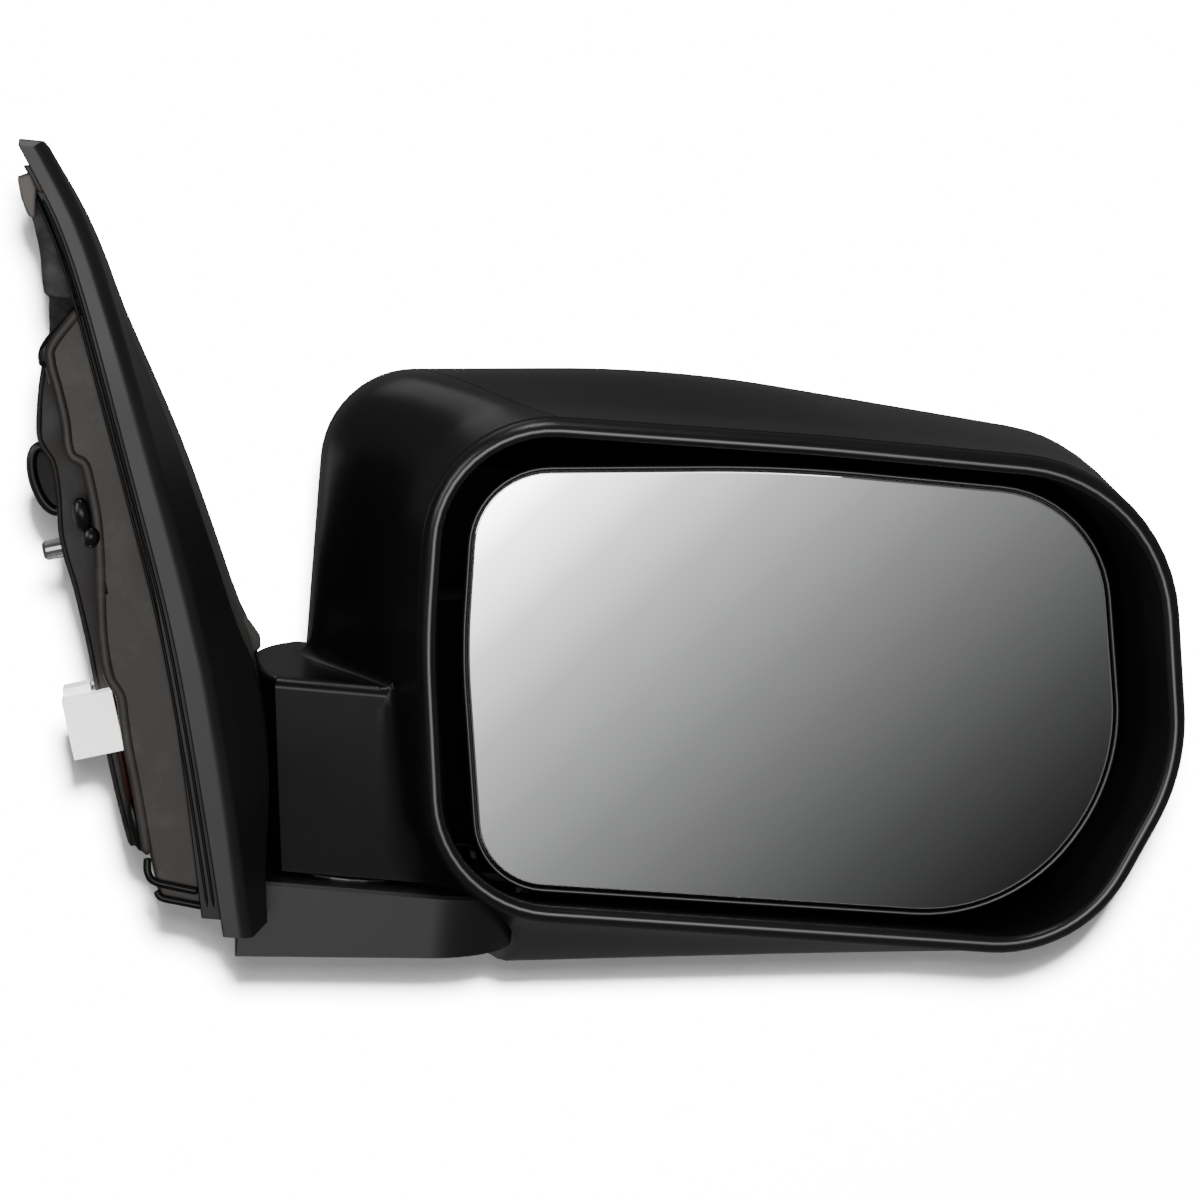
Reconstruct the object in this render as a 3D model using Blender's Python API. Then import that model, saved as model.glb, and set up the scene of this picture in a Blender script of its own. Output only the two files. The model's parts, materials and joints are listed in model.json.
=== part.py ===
"""Right-hand door mirror of a car: power-adjusted glass, folding by hand.

The assembly has a door base (base_*, sail_*, foot_*), a folding head and a tilting glass.
+X points outboard, +Y to the front of the car, +Z up. The origin lies on the flat face of
the base frame that rests on the door. Lengths are millimetres; meshes are made in metres.
"""
import math

import bmesh
import bpy
from mathutils import Matrix, Vector

MM = 0.001

# --- Driving dimensions -------------------------------------------------------------
DOOR_LEAN = 0.3076                    # tangent of the door face's lean, 17.1 degrees
FOLD_AXIS = Vector((84.0, 0.0, 0.0))  # the head folds about a vertical line through here
GLASS_CENTRE = Vector((214.0, -17.0, -8.0))   # crossing point of the two glass pivots
GAP = 0.35                            # free space left where two pieces touch

SAIL_REAR, SAIL_WALL, SAIL_THICK = -70.0, 3.0, 8.5
SEAM_X = [(-93, 45.8), (-48, 34.7), (0, 21.6), (50, 4.2), (96, -12.4), (118, -22.3), (138, -35)]
FLARE_X = [(-93, 5.0), (-76, 7.0), (-44, 13.0), (-14, 14.0), (0, 11.0), (50, 7.0), (96, 0.6), (138, 0.2)]
SAIL_FRONT = [(-93, 78), (-60, 84), (0, 62), (70, 8), (138, -57)]
SAIL_HEIGHTS = [-92, -88, -70, -50, -34, -20, -12, -4, 12, 30, 50, 70, 90, 104, 118, 130, 138]

FOOT_TOP, FOOT_HALF_WIDTH, FOOT_END = -82.0, 34.0, 138.0
NECK_BOTTOM, NECK_TOP, NECK_REAR, NECK_FRONT = -80.3, -17.5, -24.0, 30.0
NECK_RADIUS_TOP, NECK_RADIUS_BOTTOM, POCKET_GAP = 37.6, 32.0, 2.6
TUBE_RADIUS, TUBE_BORE, TUBE_TOP = 8.0, 5.6, -24.0

# Head outlines seen from behind: (x, z, corner radius), clockwise from the inboard top.
RING_OUTLINE = [(93.8, 70, 40), (215, 73, 900), (324, 73, 55), (341.3, -20.3, 66),
                (314.8, -83.7, 46), (108.5, -87, 42), (96, -2, 250)]
SHELL_OUTLINE = [(63.5, 73.3, 30), (172, 84.2, 420), (324, 73.2, 48), (336, -20, 56),
                 (306, -93.2, 34), (120, -114.8, 26), (65.5, -35, 50)]
TUNNEL_OUTLINE = [(101.8, 64, 32), (212, 67, 900), (314.5, 66, 46), (327.5, -21, 60),
                  (304, -80.8, 38), (117, -84.0, 30), (104.2, -2, 250)]
GLASS_OUTLINE = [(110.6, 51, 24), (205, 60.6, 500), (304.5, 60.6, 38), (321.5, -25, 64),
                 (292.2, -73.8, 56), (124.8, -77.1, 22), (112.6, -5, 200)]
RING_FRONT, RING_BACK, TUNNEL_BACK, RING_WIDTH = -45.0, -38.0, -12.0, 6.0
SHELL_WALL, SHELL_WIDEST, SHELL_NOSE = 3.0, 20.0, 62.0
DOME_CENTRE, DOME_POWER = (196.0, -10.0), 2.5
CAP_SEAM_POINT, CAP_SEAM_NORMAL = Vector((96.0, 15.0, 0.0)), Vector((0.821, 0.571, 0.0))

GLASS_FACE, GLASS_THICK, PAD_THICK, HOLDER_THICK, HOLDER_RIM = -32.0, 2.2, 1.0, 2.0, 1.9
PLUNGER_ARM = 33.0                    # from the glass centre to each plunger
PLUNGER_RADIUS, GEAR_RADIUS, GEAR_TEETH, GEAR_MID_Y = 4.6, 11.2, 16, 2.0
CASE_FRONT, CASE_SPLIT, CASE_BACK, CASE_WALL = -8.5, 2.0, 14.0, 2.0
FRAME_FRONT, FRAME_BACK = 15.0, 19.0  # the head frame's plate, between these Y values

PAINTS = {
    "satin_black": ((0.012, 0.012, 0.014), 0.34, 0.0),
    "base_black": ((0.016, 0.016, 0.016), 0.42, 0.0),
    "gloss_black": ((0.008, 0.008, 0.009), 0.18, 0.0),
    "tray_grey": ((0.055, 0.048, 0.042), 0.6, 0.0),
    "black_rubber": ((0.013, 0.013, 0.013), 0.7, 0.0),
    "foam": ((0.03, 0.03, 0.031), 0.95, 0.0),
    "white_nylon": ((0.78, 0.79, 0.76), 0.45, 0.0),
    "grey_nylon": ((0.16, 0.16, 0.16), 0.5, 0.0),
    "natural_nylon": ((0.72, 0.7, 0.62), 0.45, 0.0),
    "zinc_steel": ((0.6, 0.6, 0.58), 0.35, 1.0),
    "spring_steel": ((0.35, 0.35, 0.36), 0.4, 1.0),
    "diecast": ((0.45, 0.45, 0.46), 0.5, 1.0),
    "brass": ((0.7, 0.5, 0.2), 0.3, 1.0),
    "mirror": ((0.85, 0.87, 0.88), 0.02, 1.0),
    "loom": ((0.02, 0.02, 0.02), 0.6, 0.0),
}
X_AXIS, Y_AXIS, Z_AXIS = Vector((1, 0, 0)), Vector((0, 1, 0)), Vector((0, 0, 1))
DOOR_NORMAL = Vector((1.0, 0.0, DOOR_LEAN)).normalized()      # outboard, square to the door
DOOR_UP = Vector((-DOOR_LEAN, 0.0, 1.0)).normalized()         # up along the door face


# --- Mesh helpers -------------------------------------------------------------------
def clear_scene():
    for old in list(bpy.data.objects):
        bpy.data.objects.remove(old, do_unlink=True)


def paint(name):
    """Material of the given finish, made once."""
    material = bpy.data.materials.get(name)
    if material is None:
        colour, roughness, metallic = PAINTS[name]
        material = bpy.data.materials.new(name)
        material.use_nodes = True
        shader = material.node_tree.nodes["Principled BSDF"]
        shader.inputs["Base Color"].default_value = (*colour, 1.0)
        shader.inputs["Roughness"].default_value = roughness
        shader.inputs["Metallic"].default_value = metallic
        material.diffuse_color = (*colour, 1.0)
    return material


def solid(name, points, faces, finish=None):
    """Object from points in millimetres; without a finish it is a hidden cutter."""
    mesh = bpy.data.meshes.new(name)
    mesh.from_pydata([Vector(point) * MM for point in points], [], faces)
    work = bmesh.new()
    work.from_mesh(mesh)
    bmesh.ops.recalc_face_normals(work, faces=work.faces)
    work.to_mesh(mesh)
    work.free()
    piece = bpy.data.objects.new(name, mesh)
    bpy.context.scene.collection.objects.link(piece)
    if finish is None:
        piece.hide_render = True
        piece.display_type = "WIRE"
    else:
        mesh.materials.append(paint(finish))
        mesh.shade_smooth()
        mesh.set_sharp_from_angle(angle=math.radians(32))
    return piece


def skin(name, loops, finish=None, ring=False):
    """Closed solid through matching outlines; a ring joins its last outline to its first."""
    count = len(loops[0])
    points = [point for loop in loops for point in loop]
    faces = []
    for index in range(len(loops) if ring else len(loops) - 1):
        low, high = index * count, (index + 1) % len(loops) * count
        for side in range(count):
            after = (side + 1) % count
            faces.append((low + side, low + after, high + after, high + side))
    if not ring:
        faces.append(tuple(range(count)))
        faces.append(tuple(range(len(points) - count, len(points))))
    return solid(name, points, faces, finish)


def side_vectors(direction):
    """Two unit vectors square to a direction and to each other."""
    helper = Z_AXIS if abs(direction.z) < 0.9 else X_AXIS
    first = helper.cross(direction).normalized()
    return first, direction.cross(first).normalized()


def turned(name, centre, direction, profile, finish=None, ring=False, steps=20):
    """Turned solid: profile is (radius, distance along the direction) pairs."""
    first, second = side_vectors(direction)
    loops = []
    for radius, along in profile:
        turn = [math.tau * step / steps for step in range(steps)]
        loops.append([Vector(centre) + direction * along
                      + (first * math.cos(angle) + second * math.sin(angle)) * radius for angle in turn])
    return skin(name, loops, finish, ring)


def tube(name, centre, direction, inner, outer, low, high, finish=None, steps=20):
    profile = [(outer, low), (outer, high), (inner, high), (inner, low)]
    return turned(name, centre, direction, profile, finish, ring=True, steps=steps)


def rod(name, centre, direction, radius, low, high, finish=None, steps=20):
    return turned(name, centre, direction, [(radius, low), (radius, high)], finish, steps=steps)


def block(name, low, high, finish=None):
    """Box between two corners."""
    outline = [(low[0], low[1]), (high[0], low[1]), (high[0], high[1]), (low[0], high[1])]
    return skin(name, [[Vector((x, y, z)) for x, y in outline] for z in (low[2], high[2])], finish)


def frame_block(name, centre, size, axes, finish=None):
    """Box of a size about a centre, along three unit vectors."""
    half = [axis * (length / 2) for axis, length in zip(axes, size)]
    loops = []
    for end in (-1, 1):
        signs = [(-1, -1), (1, -1), (1, 1), (-1, 1)]
        loops.append([Vector(centre) + half[0] * a + half[1] * b + half[2] * end for a, b in signs])
    return skin(name, loops, finish)


def rounded_loop(corners, arc_points=5, side_points=0):
    """Outline of straight sides joined by tangent arcs, from (u, v, radius) corners."""
    spots = [Vector(corner[:2]) for corner in corners]
    outline, count = [], len(corners)
    for index, (spot, corner) in enumerate(zip(spots, corners)):
        radius = corner[2]
        back = (spots[index - 1] - spot).normalized()
        ahead = (spots[(index + 1) % count] - spot).normalized()
        half = math.acos(max(-1.0, min(1.0, back.dot(ahead)))) / 2
        if radius <= 0 or half > 1.5705:
            outline.append(spot)
            continue
        start, end = spot + back * (radius / math.tan(half)), spot + ahead * (radius / math.tan(half))
        centre = spot + (back + ahead).normalized() * (radius / math.sin(half))
        sweep = (end - centre).angle_signed(start - centre)
        for step in range(arc_points + 1):
            turn = Matrix.Rotation(sweep * step / arc_points, 2)
            outline.append(centre + turn @ (start - centre))
        following = corners[(index + 1) % count]
        for step in range(side_points):
            outline.append(end.lerp(Vector(following[:2]), (step + 1) / (side_points + 2)))
    return outline


def inset(corners, depth):
    """Corners of an outline moved inwards by a depth, or outwards by a negative one."""
    spots = [Vector(corner[:2]) for corner in corners]
    area = sum(a.cross(b) for a, b in zip(spots, spots[1:] + spots[:1]))
    turn = math.copysign(1.0, area)
    moved, count = [], len(corners)
    for index, (spot, corner) in enumerate(zip(spots, corners)):
        along = (spot - spots[index - 1]).normalized()
        ahead = (spots[(index + 1) % count] - spot).normalized()
        normal = (Vector((-along.y, along.x)) + Vector((-ahead.y, ahead.x))) * turn
        shift = normal.normalized() * (depth / max(0.2, normal.length / 2))
        moved.append((spot.x + shift.x, spot.y + shift.y, max(0.5, corner[2] - depth)))
    return moved


def mix(first, second, share):
    """Corners part of the way from one outline to another."""
    return [tuple(a + (b - a) * share for a, b in zip(one, two)) for one, two in zip(first, second)]


def rear_loop(corners, y, arc_points=4, side_points=0):
    """Outline seen from behind, placed at a depth."""
    return [Vector((spot.x, y, spot.y)) for spot in rounded_loop(corners, arc_points, side_points)]


def plan_loop(corners, z, arc_points=4):
    """Outline seen from above, placed at a height."""
    return [Vector((spot.x, spot.y, z)) for spot in rounded_loop(corners, arc_points)]


def smooth_value(points, at):
    """Smooth curve through (position, value) pairs."""
    last = len(points) - 2
    index = max(i for i in range(last + 1) if i == 0 or at >= points[i][0])
    (p1, v1), (p2, v2) = points[index], points[index + 1]
    p0, v0 = points[index - 1] if index else (2 * p1 - p2, 2 * v1 - v2)
    p3, v3 = points[index + 2] if index < last else (2 * p2 - p1, 2 * v2 - v1)
    span, share = p2 - p1, (at - p1) / (p2 - p1)
    slope1, slope2 = (v2 - v0) / (p2 - p0) * span, (v3 - v1) / (p3 - p1) * span
    square, cube = share * share, share ** 3
    return (v1 * (2 * cube - 3 * square + 1) + slope1 * (cube - 2 * square + share)
            + v2 * (3 * square - 2 * cube) + slope2 * (cube - square))


def combine(target, operation, others):
    for other in others:
        step = target.modifiers.new(other.name, "BOOLEAN")
        step.operation = operation
        step.solver = "EXACT"
        step.object = other
    return target


def cut(target, *others):
    return combine(target, "DIFFERENCE", others)


def fuse(target, *others):
    return combine(target, "UNION", others)


def keep(target, *others):
    return combine(target, "INTERSECT", others)


def screw(name, tip, direction, length, radius=1.6, head=3.4, finish="zinc_steel"):
    """Pan-head screw with a cross recess; direction points from the head to the tip."""
    start = Vector(tip) - direction * length
    profile = [(head * 0.55, -2.2), (head * 0.92, -1.7), (head, -1.0), (head, 0.0),
               (radius, 0.0), (radius, length - radius), (radius * 0.3, length)]
    piece = turned(name, start, direction, profile, finish, steps=10)
    first, second = side_vectors(direction)
    recess = frame_block(f"{name}_recess", start - direction * 2.4, (head * 0.8, head * 0.8, 2.2),
                         (first, second, direction))
    return cut(piece, recess)


def cable(name, route, radius, finish="loom", points=40):
    """Round cable along a smooth curve through its route."""
    curve = bpy.data.curves.new(name, "CURVE")
    curve.dimensions = "3D"
    curve.bevel_depth = radius * MM
    curve.bevel_resolution = 2
    curve.use_fill_caps = True
    curve.render_resolution_u = 0
    spline = curve.splines.new("POLY")
    spline.points.add(points - 1)
    tracks = [[(index, spot[axis]) for index, spot in enumerate(route)] for axis in range(3)]
    for index in range(points):
        at = (len(route) - 1) * index / (points - 1)
        spot = [smooth_value(track, at) * MM for track in tracks]
        spline.points[index].co = (*spot, 1.0)
    piece = bpy.data.objects.new(name, curve)
    piece.data.materials.append(paint(finish))
    bpy.context.scene.collection.objects.link(piece)
    return piece


# --- Door base ----------------------------------------------------------------------
def seam_x(z):
    return smooth_value(SEAM_X, z)


def front_y(z):
    return smooth_value(SAIL_FRONT, z)


def door_x(z):
    return -DOOR_LEAN * z


def sail_section(z, wall=0.0, inboard=0.0, column_wall=0.0):
    """Plan outline of the sail at a height, thinned by a wall and opened inboard."""
    rear, front = SAIL_REAR + wall, front_y(z) - wall
    length = front - rear
    left = seam_x(z) - inboard
    crease = seam_x(z) + SAIL_THICK - wall
    bulge = crease + max(0.4, smooth_value(FLARE_X, z) - column_wall)
    corner = max(0.6, 2.0 - wall)
    return [(left, rear, 0.5), (crease, rear, corner), (bulge, rear + min(25, 0.3 * length), 4.0),
            (bulge, front - min(42, 0.3 * length), 8.0), (crease, front, corner), (left, front, 0.5)]


def sail_stack(name, heights, **shape):
    return skin(name, [plan_loop(sail_section(z, **shape), z, 2) for z in heights])


def foot_plan(depth, low_x=50.5):
    half = FOOT_HALF_WIDTH - depth
    return [(low_x, -half, 0.5), (FOOT_END - depth, -half, half - 6.0),
            (FOOT_END - depth, half, half - 6.0), (low_x, half, 0.5)]


def foot_bottom(name, depth, thickness=30.0):
    """Sloping slab that trims the foot from below; depth lifts it."""
    slope = Vector((1.0, 0.0, 0.072)).normalized()
    below = Vector((0.072, 0.0, -1.0)).normalized()
    top = Vector((65.0, 0.0, -105.2 + depth))
    return frame_block(name, top + below * (thickness / 2), (240, 120, thickness), (slope, Y_AXIS, below))


def foot_level(x):
    """Height of the foot's lower rim."""
    return -105.2 + 0.072 * (x - 65.0)


def make_sail_shell():
    loops = [plan_loop(sail_section(z), z) for z in SAIL_HEIGHTS]
    tip = [(x, y, r) for x, y, r in sail_section(SAIL_HEIGHTS[-1], wall=1.6)]
    loops.append(plan_loop(tip, SAIL_HEIGHTS[-1] + 1.6))
    shell = skin("sail_shell", loops, "base_black")
    foot = skin("foot_block", [plan_loop(foot_plan(0.0), z) for z in (-110.0, FOOT_TOP - 1.0)]
                + [plan_loop(foot_plan(1.0), FOOT_TOP)])
    fuse(shell, foot)
    cavity = sail_stack("sail_cavity", [-88] + SAIL_HEIGHTS[2:-3] + [126], wall=SAIL_WALL,
                        inboard=25.0, column_wall=7.5)
    foot_room = skin("foot_cavity", [plan_loop(foot_plan(3.5, 54.0), z) for z in (-112.0, -87.0)])
    radii = [(NECK_RADIUS_BOTTOM + POCKET_GAP, FOOT_TOP + 0.2), (NECK_RADIUS_TOP + POCKET_GAP, NECK_TOP),
             (NECK_RADIUS_TOP + POCKET_GAP, NECK_TOP + 12)]
    pocket = turned("neck_pocket", FOLD_AXIS, Z_AXIS, radii, steps=48)
    bore = rod("pivot_bore", FOLD_AXIS, Z_AXIS, TUBE_RADIUS + 0.3, -95.0, -70.0, steps=32)
    recess = rod("detent_recess", FOLD_AXIS, Z_AXIS, 22.4, FOOT_TOP - 3.2, -70.0, steps=32)
    duct = rod("harness_duct", Vector((48.6, -44.0, -62.0)), Vector((2.6, 8.5, -20.0)).normalized(),
               5.3, -6.0, 26.0, steps=16)
    lower_duct = block("harness_duct_low", (40.5, -40, -91.6), (56.3, -24, -81.6))
    foot_duct = block("harness_duct_foot", (51.2, -30.2, -91.6), (64.5, -11, -83.4))
    cut(shell, foot_bottom("foot_trim", 0.0), cavity, foot_room, pocket, bore, recess)
    cut(shell, lower_duct, foot_duct, duct)
    for number, (y, z) in enumerate(SAIL_SCREWS, 1):
        spot = Vector((seam_x(z), y, z))
        fuse(shell, rod(f"sail_boss_{number}", spot, DOOR_NORMAL, 4.2, 2.6, 16.0, steps=14))
        cut(shell, rod(f"sail_boss_hole_{number}", spot, DOOR_NORMAL, 1.9, 0.0, 11.4, steps=14))
    for number, (x, y) in enumerate(COVER_SCREWS, 1):
        spot = Vector((x, y, 0))
        low = foot_level(x) + COVER_TOP + GAP
        fuse(shell, rod(f"cover_boss_{number}", spot, Z_AXIS, 4.0, low, -86.0, steps=14))
        cut(shell, rod(f"cover_boss_hole_{number}", spot, Z_AXIS, 1.9, -112.0, -90.0, steps=14))
    return shell


SAIL_SCREWS = [(-42.0, -8.0), (26.0, -10.0), (30.0, -66.0)]
COVER_SCREWS = [(58.0, 22.0), (118.0, 14.0)]
COVER_TOP = 4.4                       # top face of the foot cover above the foot's lower rim
STUDS = [(-44.0, 20.0), (-14.0, -38.0), (42.0, -44.0)]
TRAY_HEIGHTS = [-84, -60, -30, 0, 30, 60, 90]


def tray_section(z, wall=0.0, inboard=0.0, depth=0.0):
    """Plan outline of the deep tray between the door face and the seam."""
    rear, front = -64.0 + wall, min(front_y(z) - 24.0, 60.0) - wall
    return [(door_x(z) - inboard, rear, 1.5), (seam_x(z) - depth, rear, 0.5),
            (seam_x(z) - depth, front, 0.5), (door_x(z) - inboard, front, 1.5)]


def flange_section(z):
    return [(seam_x(z) - 2.2, -65.0, 1.0), (seam_x(z) + 2.0, -65.0, 0.5),
            (seam_x(z) + 2.0, front_y(z) - 5.2, 0.5), (seam_x(z) - 2.2, front_y(z) - 5.2, 1.0)]


def make_base_frame():
    heights = [-86, -70, -50, -30, -10, 10, 30, 50, 70, 90, 106, 124]
    frame = skin("base_frame", [plan_loop(flange_section(z), z, 2) for z in heights], "tray_grey")
    tray = skin("tray_block", [plan_loop(tray_section(z), z, 3) for z in TRAY_HEIGHTS])
    rise, away = Vector((0.56, 0, 0.83)).normalized(), Vector((-0.83, 0, 0.56)).normalized()
    top_trim = frame_block("tray_top_trim", Vector((-23.3, 0, 78.6)) + away * 15, (90, 260, 30),
                           (rise, Y_AXIS, away))
    fuse(frame, cut(tray, top_trim))
    pocket = skin("tray_pocket", [plan_loop(tray_section(z, 3.0, 12.0, 2.4), z, 3)
                                  for z in [-80] + TRAY_HEIGHTS[1:-1] + [68]])
    notch = frame_block("tray_notch", DOOR_UP * 27.0 + Vector((0, -66, 0)), (9.0, 26.0, 40.0),
                        (DOOR_NORMAL, Y_AXIS, DOOR_UP))
    cut(frame, pocket)
    pads = [(0.0, 0.0, 9.0)] + [(y, z, 8.0) for y, z in STUDS]
    for number, (y, z, radius) in enumerate(pads):
        spot = Vector((door_x(z), y, z))
        reach = (seam_x(z) - door_x(z)) * DOOR_NORMAL.x
        fuse(frame, rod(f"door_pad_{number}", spot, DOOR_NORMAL, radius, 0.0, reach, steps=20))
    axes = (DOOR_NORMAL, Y_AXIS, DOOR_UP)
    fuse(frame, frame_block("connector_bracket", CONNECTOR + DOOR_NORMAL * 19.2 + Vector((0, 9, 0)),
                            (20.0, 5.0, 3.0), axes))
    fuse(frame, frame_block("clip_pad", CLIP_CENTRE + DOOR_NORMAL * 10.0, (20.0, 9.0, 27.0), axes))
    cut(frame, notch)
    for number, (y, z) in enumerate(STUDS, 1):
        spot = Vector((door_x(z), y, z))
        cut(frame, rod(f"stud_hole_{number}", spot, DOOR_NORMAL, 3.0 + GAP, -5.0, 7.4, steps=20))
    for number, (y, z) in enumerate(SAIL_SCREWS, 1):
        spot = Vector((seam_x(z), y, z))
        cut(frame, rod(f"sail_screw_hole_{number}", spot, DOOR_NORMAL, 2.0, -8.0, 8.0, steps=14))
    cut(frame, rod("grommet_hole", GROMMET, DOOR_NORMAL, 6.6, -9.0, 9.0, steps=20))
    return frame


GROMMET = Vector((39.3, -44.0, -66.0))
CONNECTOR = DOOR_UP * -32.0 + Vector((0, -47, 0)) - DOOR_NORMAL * 8.6
CLIP_CENTRE = DOOR_UP * 41.0 + Vector((0, -22, 0))


def make_gasket():
    """Soft lip round the base frame's flange, wider towards the bottom."""
    def lip_section(z, rear, side, width):
        left = seam_x(z) - width * (2.3 + 3.6 * max(0.0, (20.0 - z) / 110.0))
        return [(left, rear, 0.4), (seam_x(z) + side, rear, 0.3),
                (seam_x(z) + side, front_y(z) - (rear + 70.0), 0.3), (left, front_y(z) - (rear + 70.0), 0.4)]
    heights = [-87.6, -70, -50, -30, -10, 10, 30, 50, 70, 90, 106, 120, 125]
    gasket = skin("sail_gasket", [plan_loop(lip_section(z, -66.65, 4.6, 1.0), z, 2) for z in heights],
                  "black_rubber")
    inner = [-86.5] + heights[1:-1] + [131.5]
    core = skin("gasket_core", [plan_loop(lip_section(z, -65.35, 12.0, 6.0), z, 2) for z in inner])
    return cut(gasket, core)


def make_seal_pad():
    """Foam pad on the inboard side of the flange: across the top and down the front."""
    left = [(46, -25.5), (60, -24.5), (87, -23.5), (99, -25.5), (110, -27.2), (119, -29.5), (129, -35.5)]
    loops = []
    for z in (47, 58, 70, 80, 90, 92, 94, 106, 124, 129):
        rear = front_y(z) - 21.0 if z < 93 else -61.0
        corners = [(smooth_value(left, z), rear, 1.5), (seam_x(z) - 2.2 - GAP, rear, 0.5),
                   (seam_x(z) - 2.2 - GAP, front_y(z) - 7.0, 0.5),
                   (smooth_value(left, z), front_y(z) - 7.0, 1.5)]
        loops.append(plan_loop(corners, z, 2))
    return skin("upper_seal_pad", loops, "foam")


def make_door_fixings():
    pieces = []
    for number, (y, z) in enumerate(STUDS, 1):
        spot = Vector((door_x(z), y, z))
        shape = [(2.2, -13.0), (3.0, -12.0), (3.0, 7.0)]
        pieces.append(turned(f"mount_stud_{number}", spot, DOOR_NORMAL, shape, "zinc_steel", steps=18))
        collar = tube(f"stud_collar_{number}", spot, DOOR_NORMAL, 3.0 + GAP, 6.6, -7.0, -GAP,
                      "gloss_black", steps=18)
        pieces.append(collar)
    loops = []
    for step in range(17):
        angle = math.radians(4 + 172 * step / 16)
        outward = -DOOR_NORMAL * math.sin(angle) + DOOR_UP * math.cos(angle)
        middle = CLIP_CENTRE + outward * 10.5
        turn = [math.tau * side / 10 for side in range(10)]
        loops.append([middle + outward * (2.1 * math.cos(a)) + Y_AXIS * (3.4 * math.sin(a)) for a in turn])
    pieces.append(skin("door_locating_clip", loops, "gloss_black"))
    return pieces


def make_connector():
    axes = (DOOR_NORMAL, Y_AXIS, DOOR_UP)
    housing = frame_block("connector_housing", CONNECTOR, (15.4, 24.0, 18.6), axes, "white_nylon")
    fuse(housing, frame_block("connector_latch", CONNECTOR + DOOR_UP * 10.0 - DOOR_NORMAL * 3.0,
                              (8.5, 9.0, 3.0), axes))
    fuse(housing, frame_block("connector_hook", CONNECTOR - DOOR_UP * 9.8 + DOOR_NORMAL * 2.0,
                              (6.0, 6.0, 2.4), axes))
    cut(housing, frame_block("connector_mouth", CONNECTOR - DOOR_NORMAL * 4.0, (12.0, 20.6, 15.0), axes))
    cut(housing, rod("connector_wire_hole", CONNECTOR, DOOR_NORMAL, 3.6 + GAP, 0.0, 12.0, steps=16))
    carrier = frame_block("connector_terminals", CONNECTOR + DOOR_NORMAL * 0.7,
                          (1.6, 19.6, 14.0), axes, "brass")
    for row in (-3.2, 3.2):
        for column in (-6.0, -2.0, 2.0, 6.0):
            spot = CONNECTOR - DOOR_NORMAL * 1.3 + Y_AXIS * column + DOOR_UP * row
            fuse(carrier, frame_block(f"terminal_{row}_{column}", spot, (3.4, 0.8, 1.6), axes))
    return [housing, carrier]


def make_base_wiring():
    rings = [(4.2, -5.6), (8.4, -5.6), (8.4, -3.1), (6.2, -3.1), (6.2, 2.9), (8.2, 2.9),
             (7.4, 5.0), (4.2, 5.0)]
    grommet = turned("harness_grommet", GROMMET, DOOR_NORMAL, rings, "black_rubber", ring=True, steps=18)
    inlet = CONNECTOR + DOOR_NORMAL * 3.2
    route = [inlet, CONNECTOR + DOOR_NORMAL * 9, CONNECTOR + DOOR_NORMAL * 13 - DOOR_UP * 4,
             GROMMET - DOOR_NORMAL * 15 + DOOR_UP * 8, GROMMET - DOOR_NORMAL * 8,
             GROMMET, GROMMET + DOOR_NORMAL * 6.5,
             Vector((48.9, -42.6, -67.0)), Vector((50.2, -38.8, -74.5)), Vector((52.3, -34.5, -82.5)),
             Vector((52.9, -28.5, -86.9)), Vector((56.5, -22.0, -88.6)), Vector((62.0, -13.5, -92.6)),
             Vector((69.5, -4, -95.3)), Vector((77, 0, -95.2)),
             Vector((82.4, 0, -93.4)), Vector((84, 0, -88.5)), Vector((84, 0, -78)), Vector((84, 0, -50.2))]
    return [grommet, cable("base_harness", route, 3.5, points=48)]


def make_foot_cover():
    slope = Vector((1.0, 0.0, 0.072)).normalized()
    cover = skin("foot_cover", [plan_loop(foot_plan(3.5 + GAP, 54.4), z) for z in (-109.0, -95.0)],
                 "base_black")
    cut(cover, foot_bottom("cover_trim_low", 0.6))
    above = Vector((65.0, 0.0, foot_level(65.0) + COVER_TOP)) + Vector((-0.072, 0, 1.0)).normalized() * 15.0
    cut(cover, frame_block("cover_trim_high", above, (240, 120, 30), (slope, Y_AXIS, slope.cross(Y_AXIS))))
    pieces = [cover]
    for number, (x, y) in enumerate(COVER_SCREWS, 1):
        level = foot_level(x)
        cut(cover, rod(f"cover_hole_{number}", Vector((x, y, 0)), Z_AXIS, 1.9, -115.0, -90.0, steps=14))
        cut(cover, rod(f"cover_counterbore_{number}", Vector((x, y, 0)), Z_AXIS, 3.8, -115.0, level + 2.9,
                       steps=14))
        pieces.append(screw(f"foot_cover_screw_{number}", (x, y, level + 11.0), Z_AXIS, 8.4, 1.5, 3.0))
    return pieces


def make_sail_screws():
    pieces = []
    for number, (y, z) in enumerate(SAIL_SCREWS, 1):
        face = Vector((seam_x(z), y, z)) - DOOR_NORMAL * 2.9
        pieces.append(screw(f"sail_screw_{number}", face + DOOR_NORMAL * 12.0, DOOR_NORMAL, 12.0))
    return pieces


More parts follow.
